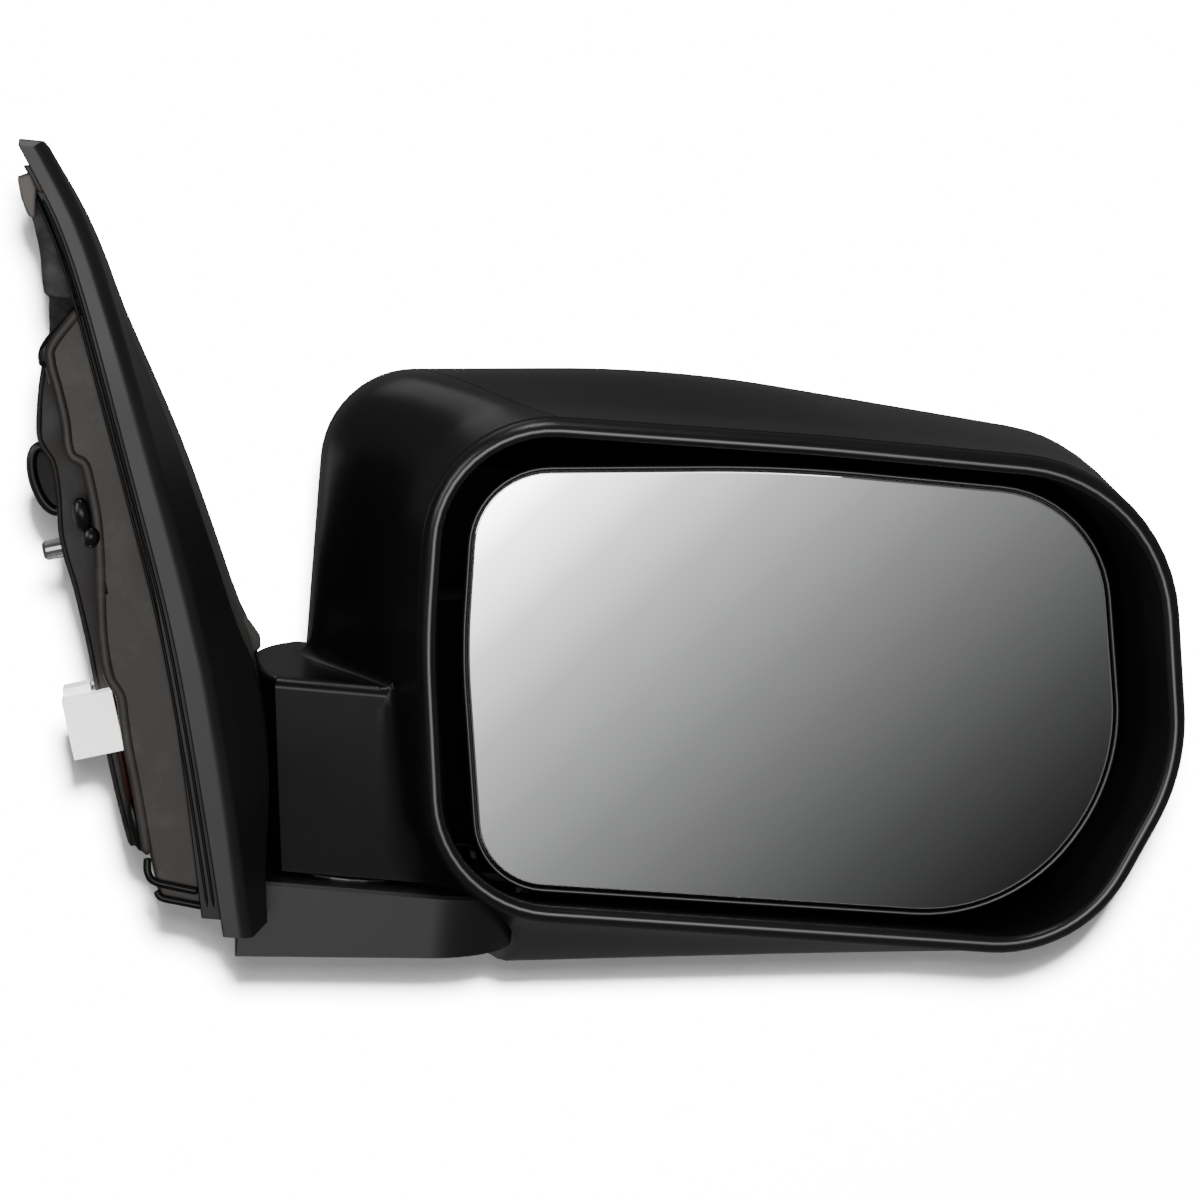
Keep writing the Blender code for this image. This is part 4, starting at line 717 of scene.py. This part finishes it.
def make_shell(name, finish):
    """Head shell open at the rear, with a wall over and round the foot's room."""
    shell = skin(name, shell_loops(0.0), finish)
    rim = rear_loop(inset(RING_OUTLINE, SHELL_WALL), RING_BACK - 4)
    void = skin(f"{name}_void", [rim] + shell_loops(SHELL_WALL))
    cut(void, rod(f"{name}_lining", FOLD_AXIS, Z_AXIS, 58.7, -130.0, NECK_BOTTOM + 2.2, steps=64),
        block(f"{name}_lining_side", (-20, -120, -130), (114.4, 120, NECK_BOTTOM + 2.1)))
    return cut(shell, void, foot_sweep(f"{name}_foot_sweep"))

def make_head_skins():
    """Cap and inboard housing with its neck, their edges rounded."""
    cap = cut(make_shell("cap_skin", "satin_black"), seam_side("cap_seam", -1, NECK_BOTTOM - 0.6),
              skin("neck_clearance", neck_loops(-0.5)), tunnel_room("cap_tunnel_room"),
              block("lining_end", (121.0, -36.0, -80.8), (131.0, -12.4, -77.6)))
    place(bake(cap, 0.35), "head", "satin_black", "cap_shell")
    housing = cut(make_shell("housing_skin", "satin_black"), seam_side("housing_seam", 1, -200.0, 0.35),
                  block("housing_below", (20, -60, -200), (360, 80, NECK_BOTTOM - 0.02)))
    fuse(housing, skin("neck_block", neck_loops(0.0)), neck_cove(), top_cove())
    room = skin("head_room", [rear_loop(inset(RING_OUTLINE, SHELL_WALL), RING_BACK - 4)]
                + shell_loops(SHELL_WALL))
    keep(room, block("head_room_limit", (0, -80, NECK_BOTTOM + 3.0), (400, 100, 200)))
    hole = rod("detent_hole", FOLD_AXIS, Z_AXIS, 23.0, -90.0, -70.0)
    cut(housing, skin("neck_room", neck_loops(2.6)), room, tunnel_room("housing_tunnel_room"), hole)
    place(bake(housing, 0.3), "head", "satin_black", "inboard_housing")


def make_ring():
    """Glossy ring with a round front bead, and the dark tunnel that runs back from it."""
    front = inset(RING_OUTLINE, RING_WIDTH)
    neck, back = tunnel_outside(2.2)
    loops = [rear_loop(RING_OUTLINE, RING_BACK - GAP)]
    rim = [(0.0, -39.3), (0.18, -40.8), (0.6, -42.1), (1.25, -43.2), (2.1, -44.1), (3.0, -44.65),
           (3.9, -44.8), (4.7, -44.5), (5.3, -43.9), (5.75, -43.0)]
    loops += [rear_loop(inset(RING_OUTLINE, depth), y) for depth, y in rim]
    loops += [rear_loop(front, -41.8), rear_loop(mix(front, TUNNEL_OUTLINE, 0.5), -27.0),
              rear_loop(TUNNEL_OUTLINE, TUNNEL_BACK), rear_loop(back, TUNNEL_BACK),
              rear_loop(neck, RING_BACK + 2.0), rear_loop(inset(RING_OUTLINE, 3.5), RING_BACK - GAP)]
    ring = cut(skin("ring_skin", loops, "gloss_black", ring=True), foot_sweep("ring_foot_sweep"))
    bake(ring)
    ring.data.materials.append(MATERIALS["tunnel_black_and_painted_shade"])
    for face in ring.data.polygons:
        face.material_index = 1 if face.center.y > -41.2 * MM else 0
    place(ring, "head", "gloss_black", "bezel_ring")


def make_pane():
    """Glass with a ground bevel at its edge, in a holder with a rounded rim."""
    back = GLASS_FACE + GLASS_THICK
    rim = [(0.9, GLASS_FACE), (0.35, GLASS_FACE + 0.18), (0.0, GLASS_FACE + 0.6), (0.0, back)]
    pane = skin("glass_pane", [rear_loop(inset(GLASS_OUTLINE, depth), y) for depth, y in rim], "mirror")
    place(bake(pane), "glass", "mirror", "mirror_glass")
    plate = back + 2 * GAP + PAD_THICK
    rim = [(GAP, plate), (GAP, -32.1), (0.45, -32.5), (0.8, -32.7), (1.2, -32.7), (1.55, -32.5), (1.8, -32.1),
           (HOLDER_RIM, -31.6), (HOLDER_RIM, plate + 1.2), (1.0, plate + HOLDER_THICK)]
    loops = [rear_loop(inset(GLASS_OUTLINE, -width), y) for width, y in rim]
    holder = skin("holder_skin", loops, "gloss_black")
    floor = plate + HOLDER_THICK - 0.8
    for side in (-1, 1):
        fuse(holder, frame_block(f"holder_lug_{side}", at_glass(0, 19.8 * side, (floor - 13.6) / 2),
                                 (9.0, -13.6 - floor, 5.0), (X_AXIS, Y_AXIS, Z_AXIS)))
    for label, (x, z) in PLUNGERS.items():
        fuse(holder, rod(f"socket_{label}", at_glass(x, z), Y_AXIS, 7.2, floor, -16.0))
        cut(holder, rod(f"socket_room_{label}", at_glass(x, z), Y_AXIS, 5.1, -22.6, -10.0))
    cut(holder, rod("holder_bore", GLASS_CENTRE, Z_AXIS, 2.2, -30.0, 30.0))
    place(bake(holder), "glass", "satin_black", "glass_holder")


def at_glass(x, z, y=0.0):
    return Vector((GLASS_CENTRE.x + x, y, GLASS_CENTRE.z + z))


PLUNGERS = {"vertical": (0.0, PLUNGER_ARM), "horizontal": (-PLUNGER_ARM, 0.0)}


# --- The base's visible pieces ---
def make_base_skins():
    place(bake(make_sail_shell(), 0.9, 34.0, 3), "base", "base_black", "sail_shell")
    tray = cut(make_base_frame(), upright("tray_edge_cut", TRAY_CUT, -72.0, -57.0))
    place(bake(tray, 0.6, 34.0), "base", "tray_grey", "base_frame")
    place(bake(make_gasket(), 0.25), "base", "black_rubber", "sail_gasket")
    pad = make_seal_pad()
    soften(pad)
    place(pad, "base", "foam", "upper_seal_pad")


def soften(pad):
    """Round the foam's edges and give its skin uneven hollows."""
    step = pad.modifiers.new("grid", "REMESH")
    step.mode = "VOXEL"
    step.voxel_size = 1.3 * MM
    graph = bpy.context.evaluated_depsgraph_get()
    mesh = bpy.data.meshes.new_from_object(pad.evaluated_get(graph), depsgraph=graph)
    pad.modifiers.clear()
    mesh.materials.clear()
    mesh.materials.append(MATERIALS["foam"])
    pad.data = mesh
    mesh.calc_loop_triangles()
    normals = [vertex.normal.copy() for vertex in mesh.vertices]
    for vertex, normal in zip(mesh.vertices, normals):
        hollow = noise.noise(vertex.co * 95.0) * 0.5 + noise.noise(vertex.co * 320.0) * 0.3
        vertex.co -= normal * (max(0.0, 0.45 + hollow) * 0.7 * MM)
    smooth = pad.modifiers.new("smooth", "SMOOTH")
    smooth.factor = 0.5
    smooth.iterations = 2
    mesh.shade_smooth()


def make_plug():
    """White connector with its latch, hook and open mouth."""
    housing = frame_block("plug_housing", CONNECTOR, (15.4, 24.0, 18.6), DOOR_AXES, "white_nylon")
    latch = CONNECTOR + DOOR_UP * 10.0 - DOOR_NORMAL * 3.0
    hook = CONNECTOR - DOOR_UP * 9.8 + DOOR_NORMAL * 2.0
    fuse(housing, frame_block("plug_latch", latch, (8.5, 9.0, 3.0), DOOR_AXES),
         frame_block("plug_hook", hook, (6.0, 6.0, 2.4), DOOR_AXES))
    cut(housing, frame_block("plug_mouth", CONNECTOR - DOOR_NORMAL * 4.0, (12.0, 20.6, 15.0), DOOR_AXES))
    cut(housing, rod("plug_wire_hole", CONNECTOR, DOOR_NORMAL, 3.6 + GAP, 0.0, 12.0))
    place(bake(housing, 0.7, 34.0, 3), "base", "white_nylon", "connector_housing")


# Rear edge of the tray's wall and what lies inboard of it, as (x, z) seen from behind.
TRAY_EDGE = [(-13.3, 91.7), (-20.3, 80.6), (-20.4, 75.2), (-17.6, 67.2), (-14.8, 58.5), (-13.3, 51.2),
             (-11.6, 47.9), (-8.2, 46.2), (-6.2, 41.4), (-2.9, 29.6), (-1.0, 17.7), (0.3, 5.8),
             (2.0, -6.2), (4.6, -16.6), (8.6, -22.6), (10.3, -29.8), (12.1, -37.3), (15.1, -47.8),
             (18.3, -59.8), (20.8, -70.0)]
TRAY_CUT = TRAY_EDGE[2:] + [(0.0, -72.0), (-40.0, 0.0), (-40.0, 76.0)]
INNER_EDGE = [(-22.4, 77.4), (-23.1, 64.7), (-22.2, 51.2), (-17.5, 44.0), (-15.0, 34.0), (-13.6, 24.0),
              (-11.2, 16.1), (-8.0, 8.0), (-4.2, -3.3), (-0.6, -15.3), (6.0, -40.3), (11.1, -56.9),
              (15.9, -70.4)]
TIP_OUTLINE = [(-34.8, 128.6), (-31.0, 130.2), (-28.8, 126.0), (-28.4, 117.0), (-30.6, 117.6),
               (-33.0, 122.4)]
# Lips: radius and route. Bosses: centre, half sizes and lean.
LIPS = {
    "tray_top_lip": (2.1, [(-22.2, -57.0, 74.0), (-22.2, -60.0, 78.4), (-18.1, -61.0, 85.0),
                           (-13.6, -61.0, 91.0)]),
    "tray_low_lip": (1.2, [(20.9, -63.8, -71.0), (21.4, -64.8, -75.2), (23.6, -65.0, -77.8),
                           (29.6, -65.0, -78.9), (37.0, -65.0, -79.8)]),
    "tray_foot_lip": (1.1, [(24.4, -65.0, -80.6), (26.2, -65.2, -82.6), (31.6, -65.2, -83.4),
                            (38.4, -65.2, -84.2)]),
}
BOSSES = {
    "tray_boss_upper": ((-7.4, -64.0, 31.0), (3.0, 3.2, 5.2), -0.3),
    "tray_boss_lower": ((-4.2, -64.0, 24.6), (2.9, 3.0, 3.4), 0.0),
    "tray_boss_low": ((16.6, -57.4, -62.7), (2.2, 2.6, 8.2), -0.3),
}
LEADS = {
    "plug_lead_1": [(8.2, -54.0, -33.0), (9.0, -55.0, -38.6), (11.0, -55.0, -45.0), (13.0, -54.0, -52.6),
                    (15.0, -52.6, -58.0)],
    "plug_lead_2": [(9.6, -53.4, -33.0), (10.8, -54.2, -39.0), (12.9, -54.0, -46.0), (14.9, -53.4, -53.0),
                    (17.0, -52.6, -58.0)],
}


def upright(name, outline, rear, front, finish=None):
    """Prism with an outline of (x, z) points, between two depths."""
    return skin(name, [[Vector((x, y, z)) for x, z in outline] for y in (rear, front)], finish)


def bead(name, route, radius, material, flat=1.0, points=60, sides=14):
    """Round bead along a smooth curve through its route, flattened front to rear by a share."""
    tracks = [[(index, spot[axis]) for index, spot in enumerate(route)] for axis in range(3)]
    last = len(route) - 1
    steps = [last * step / points for step in range(points + 1)]
    spots = [Vector([smooth_value(track, at) for track in tracks]) for at in steps]
    loops = []
    for index, spot in enumerate(spots):
        along = (spots[min(index + 1, points)] - spots[max(index - 1, 0)]).normalized()
        out = along.cross(Y_AXIS).normalized()
        deep = out.cross(along).normalized()
        share = min(1.0, math.sqrt(1.0 - (1.0 - min(index, points - index, 2) / 2.0) ** 2) + 0.25)
        loops.append([spot + (out * math.cos(a) + deep * math.sin(a) * flat) * (radius * share)
                      for a in turns(sides)])
    piece = skin(name, loops, material)
    piece.data.shade_smooth()
    return piece


def knob(name, centre, size, material, lean=0.0):
    """Smooth boss: an ellipsoid of three half sizes, leaning in the rear view."""
    loops, tilt = [], Matrix.Rotation(lean, 3, "Y")
    for angle in [math.pi * step / 16 for step in range(1, 16)]:
        wide, deep, high = size[0] * math.sin(angle), size[1] * math.sin(angle), size[2] * math.cos(angle)
        ring = [Vector((wide * math.cos(a), deep * math.sin(a), high)) for a in turns(24)]
        loops.append([Vector(centre) + tilt @ spot for spot in ring])
    piece = skin(name, loops, material)
    piece.data.shade_smooth()
    return piece


def lock_outline(wide, lean, high, steps):
    """Leaning oval of the catch on the tray's edge, as (x, z) points."""
    return [(-18.6 + wide * math.cos(a) - lean * math.sin(a), 39.0 + high * math.sin(a))
            for a in turns(steps)]


def make_tray_details():
    """Raised rim, inner wall, lips, bosses, leads and catch of the tray's rear side."""
    rim, inner = [(x, -64.2, z) for x, z in TRAY_EDGE], [(x, -52.0, z) for x, z in INNER_EDGE]
    place(bead("tray_rim", rim, 1.5, "tray_grey", 0.6, points=150), "base", "tray_grey")
    wall = INNER_EDGE + [(x + 24.0, z) for x, z in reversed(INNER_EDGE)]
    # The inner wall takes the darkened tray grey, painted shade of the recess.
    place(bake(upright("tray_inner_wall", wall, -52.0, -49.0, "tray_painted_shade"), 0.8), "base", "tray_grey")
    place(bead("tray_inner_rim", inner, 0.8, "tray_grey", points=110), "base", "tray_grey")
    place(bake(upright("seal_tip", TIP_OUTLINE, -66.0, -57.0, "seal_tan"), 0.9), "base", "foam")
    for name, (radius, route) in LIPS.items():
        place(bead(name, route, radius, "gloss_black"), "base", "base_black")
    for name, (centre, size, lean) in BOSSES.items():
        place(knob(name, centre, size, "gloss_black", lean), "base", "base_black")
    for name, route in LEADS.items():
        place(bead(name, route, 1.05, "wire_red"), "base", "loom")
    for number, shift in enumerate((-3.4, -1.5), 1):
        route = [(seam_x(z) + shift, -66.7, z) for z in (-84, -60, -30, 0, 30, 60, 90, 110, 123)]
        line = bead(f"flange_line_{number}", route, 0.5, "black_rubber", points=90, sides=8)
        place(line, "base", "black_rubber")
    oval = lock_outline(4.6, 3.0, 9.4, 12)
    loop = [(x, -50.0, z) for x, z in oval + oval[:1]]
    place(bead("lock_loop", loop, 1.6, "gloss_black", points=72), "base", "base_black")
    # The web inside the catch takes the darkened tray grey, painted shade.
    web = upright("lock_web", lock_outline(4.0, 2.8, 8.8, 24), -49.8, -48.6, "tray_painted_shade")
    place(web, "base", "base_black")


def make_neck_seal():
    """Soft wedge that fills the corner between the sail and the neck's top."""
    outline = [(38.4, -4.0), (42.6, -4.6), (46.8, -8.4), (50.4, -12.8), (50.0, -14.6), (45.6, -16.9),
               (38.4, -17.0)]
    wedge = upright("neck_corner_seal", outline, -4.0, 14.0, "seal_tan")
    place(bake(wedge, 1.2, 25.0, 3), "base", "black_rubber")


def make_clip():
    """Locating clip's loop and the grooved collars round the studs."""
    loops = []
    for step in range(33):
        angle = math.radians(4 + 172 * step / 32)
        outward = -DOOR_NORMAL * math.sin(angle) + DOOR_UP * math.cos(angle)
        middle = CLIP_CENTRE + outward * 10.5
        loops.append([middle + outward * (2.1 * math.cos(a)) + Y_AXIS * (3.4 * math.sin(a))
                      for a in turns(20)])
    place(bake(skin("clip_loop", loops, "gloss_black"), 0.4), "base", "gloss_black", "door_locating_clip")
    for number, (y, z) in enumerate(STUDS, 1):
        spot = Vector((door_x(z), y, z))
        rings = [(3.0 + GAP, -7.0), (6.0, -7.0), (6.6, -6.4), (6.6, -3.4), (6.1, -3.0), (6.1, -2.2),
                 (6.6, -1.8), (6.6, -GAP), (3.0 + GAP, -GAP)]
        collar = turned(f"collar_{number}", spot, DOOR_NORMAL, rings, "gloss_black", ring=True)
        place(bake(collar), "base", "gloss_black", f"stud_collar_{number}")


SLOTS = {entry["node"]: entry["material_slot"] for entry in frame["record"]["subparts"]}


def dress_nodes():
    """Every CAD node that stays visible takes its slot's finish; the head frame and screws seen through the
    tunnel's gap are instead given black, as painted shade of the head's dark inside.
    """
    # Painted shade: these metal pieces inside the head are coloured black rather than their own finish.
    dark = ("head_frame", "bezel_screw", "cap_screw", "housing_screw")
    for name, node in frame["nodes"].items():
        node.data.materials.clear()
        node.data.materials.append(MATERIALS["tunnel_black_and_painted_shade" if name.startswith(dark) else SLOTS[name]])


# --- Studio ---
def stage_sheet(name, low, high, y, material, camera):
    """Upright sheet of the studio between two (x, z) corners, for the camera or else for reflections."""
    mesh = bpy.data.meshes.new(name)
    corners = [(low[0], low[1]), (high[0], low[1]), (high[0], high[1]), (low[0], high[1])]
    mesh.from_pydata([(x, y, z) for x, z in corners], [], [(0, 1, 2, 3)])
    mesh.materials.append(material)
    piece = bpy.data.objects.new(name, mesh)
    bpy.context.scene.collection.objects.link(piece)
    piece.visible_camera, piece.visible_glossy = camera, not camera
    piece.visible_diffuse = piece.visible_shadow = piece.visible_transmission = False
    return piece


def soft_box(name, spot, aim, size, power, height=None, shadow=True):
    """Rectangular lamp at a spot, turned to an aim; sizes in metres and power in watts."""
    light = bpy.data.lights.new(name, "AREA")
    light.shape, light.size, light.size_y = "RECTANGLE", size, height or size
    light.energy, light.use_shadow = power, shadow
    lamp = bpy.data.objects.new(name, light)
    lamp.location = spot
    lamp.rotation_euler = (Vector(aim) - Vector(spot)).to_track_quat("-Z", "Y").to_euler()
    bpy.context.scene.collection.objects.link(lamp)
    return lamp


def make_backdrop():
    """White wall behind the mirror, clear from its back, that only the camera sees."""
    material, tree = new_material("paper")
    shader = tree.nodes["Principled BSDF"]
    shader.inputs["Roughness"].default_value = 1.0
    shader.inputs["Specular IOR Level"].default_value = 0.0
    fibre = add_node(tree, "TexNoise", Scale=400.0)
    tone = ramp_node(tree, [(0.0, (0.88, 0.88, 0.88)), (1.0, (0.92, 0.92, 0.92))])
    side, clear = add_node(tree, "NewGeometry"), add_node(tree, "BsdfTransparent")
    blend = add_node(tree, "MixShader")
    link(tree, fibre, "Fac", tone, "Fac")
    link(tree, tone, "Color", shader, "Base Color")
    link(tree, side, "Backfacing", blend, 0)
    link(tree, shader, "BSDF", blend, 1)
    link(tree, clear, "BSDF", blend, 2)
    link(tree, blend, "Shader", tree.nodes["Material Output"], "Surface")
    stage_sheet("backdrop", (-0.45, -0.65), (0.85, 0.6), BACKDROP_Y, material, camera=True)


def shadow_lamp(name, right, above, radius, tone):
    """Round lamp beside the camera that lights only the backdrop, to a tone; its shadow falls opposite."""
    light = bpy.data.lights.new(name, "AREA")
    light.shape, light.size = "DISK", 2 * radius
    lamp = bpy.data.objects.new(name, light)
    lamp.matrix_world = bpy.context.scene.camera.matrix_world @ Matrix.Translation((right, above, 0.0))
    reach = BACKDROP_Y - lamp.matrix_world.translation.y
    light.energy = tone * math.pi ** 2 / 0.9 * reach ** 2
    bpy.context.scene.collection.objects.link(lamp)
    only_on(lamp, "backdrop")


def only_on(source, *names):
    """The source lights nothing but the named pieces."""
    group = bpy.data.collections.new(f"{source.name}_receivers")
    for name in names:
        group.objects.link(bpy.data.objects[name])
    source.light_linking.receiver_collection = group


def make_card():
    """Graded card behind the camera that only the glass sees."""
    material, tree = new_material("card")
    tree.nodes.clear()
    end, glow = add_node(tree, "OutputMaterial"), add_node(tree, "Emission", Strength=CARD_POWER)
    where, split = add_node(tree, "TexCoord"), add_node(tree, "SeparateXYZ")
    across, total = add_node(tree, "Math"), add_node(tree, "Math")
    for part, factor in ((across, CARD_ACROSS), (total, -CARD_DOWN)):
        part.operation = "MULTIPLY_ADD"
        part.inputs[1].default_value = factor
    across.inputs[2].default_value = CARD_DOWN + CARD_SHIFT
    ramp = ramp_node(tree, [(spot, [tone / CARD_POWER / GLASS_TONE] * 3) for spot, tone in CARD_TONES])
    link(tree, where, "Generated", split, "Vector")
    link(tree, split, "X", across, 0)
    link(tree, split, "Z", total, 0)
    link(tree, across, "Value", total, 2)
    link(tree, total, "Value", ramp, "Fac")
    link(tree, ramp, "Color", glow, "Color")
    link(tree, glow, "Emission", end, "Surface")
    only_on(stage_sheet("card", (0.17, -0.45), (0.78, -0.04), -1.5, material, camera=False), "glass_pane")


def make_world():
    """White to the camera and dim for everything else, as in a dark studio."""
    world = bpy.data.worlds.new("studio")
    world.use_nodes = True
    tree, white = world.node_tree, (1.0, 1.0, 1.0, 1.0)
    tree.nodes.clear()
    plain = add_node(tree, "Background", Color=white, Strength=WORLD_SEEN)
    dim = add_node(tree, "Background", Color=white, Strength=WORLD_DIM)
    path, blend = add_node(tree, "LightPath"), add_node(tree, "MixShader")
    link(tree, path, "Is Camera Ray", blend, 0)
    link(tree, dim, "Background", blend, 1)
    link(tree, plain, "Background", blend, 2)
    link(tree, blend, "Shader", add_node(tree, "OutputWorld"), "Surface")
    bpy.context.scene.world = world


def make_camera():
    """Camera behind the mirror, a little above and inboard, rolled by six degrees."""
    data = bpy.data.cameras.new("camera")
    data.lens, data.sensor_width = 123.03, 36.0
    camera = bpy.data.objects.new("camera", data)
    spot, target = Vector((0.0211, -1.2803, 0.1913)), Vector((0.1557, 0.0, 0.0104))
    look = (target - spot).to_track_quat("-Z", "Y").to_matrix().to_4x4()
    camera.matrix_world = Matrix.Translation(spot) @ look @ Matrix.Rotation(math.radians(6.0), 4, "Z")
    bpy.context.scene.collection.objects.link(camera)
    bpy.context.scene.camera = camera


BACKDROP_Y = 0.3
WORLD_SEEN, WORLD_DIM = 16.0, 0.13
GLASS_TONE = 0.84  # share of light that the mirror sends back
# The card's tone runs from its upper left to its lower right along these shares of its sides.
CARD_ACROSS, CARD_DOWN, CARD_SHIFT, CARD_POWER = 0.951, 0.579, -0.176, 15.0
CARD_TONES = [(0.0, 13.0), (0.1, 3.4), (0.2, 1.33), (0.3, 0.69), (0.4, 0.44), (0.5, 0.285), (0.6, 0.195),
              (0.7, 0.13), (0.8, 0.078), (0.9, 0.042), (1.0, 0.015)]
HEAD_PIECES = ("cap_skin", "housing_skin", "ring_skin", "holder_skin", "clip_loop", "lock_loop",
               "tray_boss_upper", "tray_boss_lower")
BASE_PIECES = ("sail_skin", "base_tray", "foot_cover", "sail_seal", "tray_rim", "tray_inner_wall", "seal_pad",
               "ring_skin", "seal_tip")


def make_lights():
    """Soft boxes round the mirror, some for the head or the base alone, and the backdrop's lamps."""
    shadow_lamp("wall_light", 0.014, 0.056, 0.022, 19.0)
    shadow_lamp("wall_soft", 0.003, 0.033, 0.024, 0.6)
    head, base, plug = (0.1, 0.0, 0.0), (0.02, 0.0, 0.0), (0.0, 0.0, 0.0)
    soft_box("front", (-0.1, -1.7, 0.2), head, 1.2, 7.0, 0.6)
    soft_box("rear_top", (-0.3, 0.75, 1.0), (0.12, 0.0, 0.05), 0.6, 0.6, 0.4)
    soft_box("above", (-0.12, -0.1, 1.3), (0.05, 0.0, 0.0), 0.35, 3.4, 0.35)
    only_on(soft_box("left", (-1.0, -0.7, 0.5), (0.05, 0.0, 0.0), 0.6, 6.0, 0.9), *HEAD_PIECES)
    only_on(soft_box("flank", (-1.6, 0.5, -0.5), head, 2.4, 4.0, 1.4, shadow=False), *HEAD_PIECES)
    only_on(soft_box("base_lift", (0.0, -1.5, -0.2), base, 1.0, 4.8), *BASE_PIECES)
    only_on(soft_box("ring_glow", (0.3, -1.3, 0.0), (0.21, 0.0, 0.0), 0.9, 11.0), "ring_skin", "holder_skin")
    only_on(soft_box("plug_lift", (-0.7, -0.8, 0.5), plug, 0.8, 60.0), "plug_housing")


make_finishes()
dress_nodes()
make_camera()
make_world()
make_head_skins()
make_ring()
make_pane()
make_base_skins()
make_plug()
make_clip()
make_tray_details()
make_neck_seal()
make_backdrop()
make_card()
make_lights()
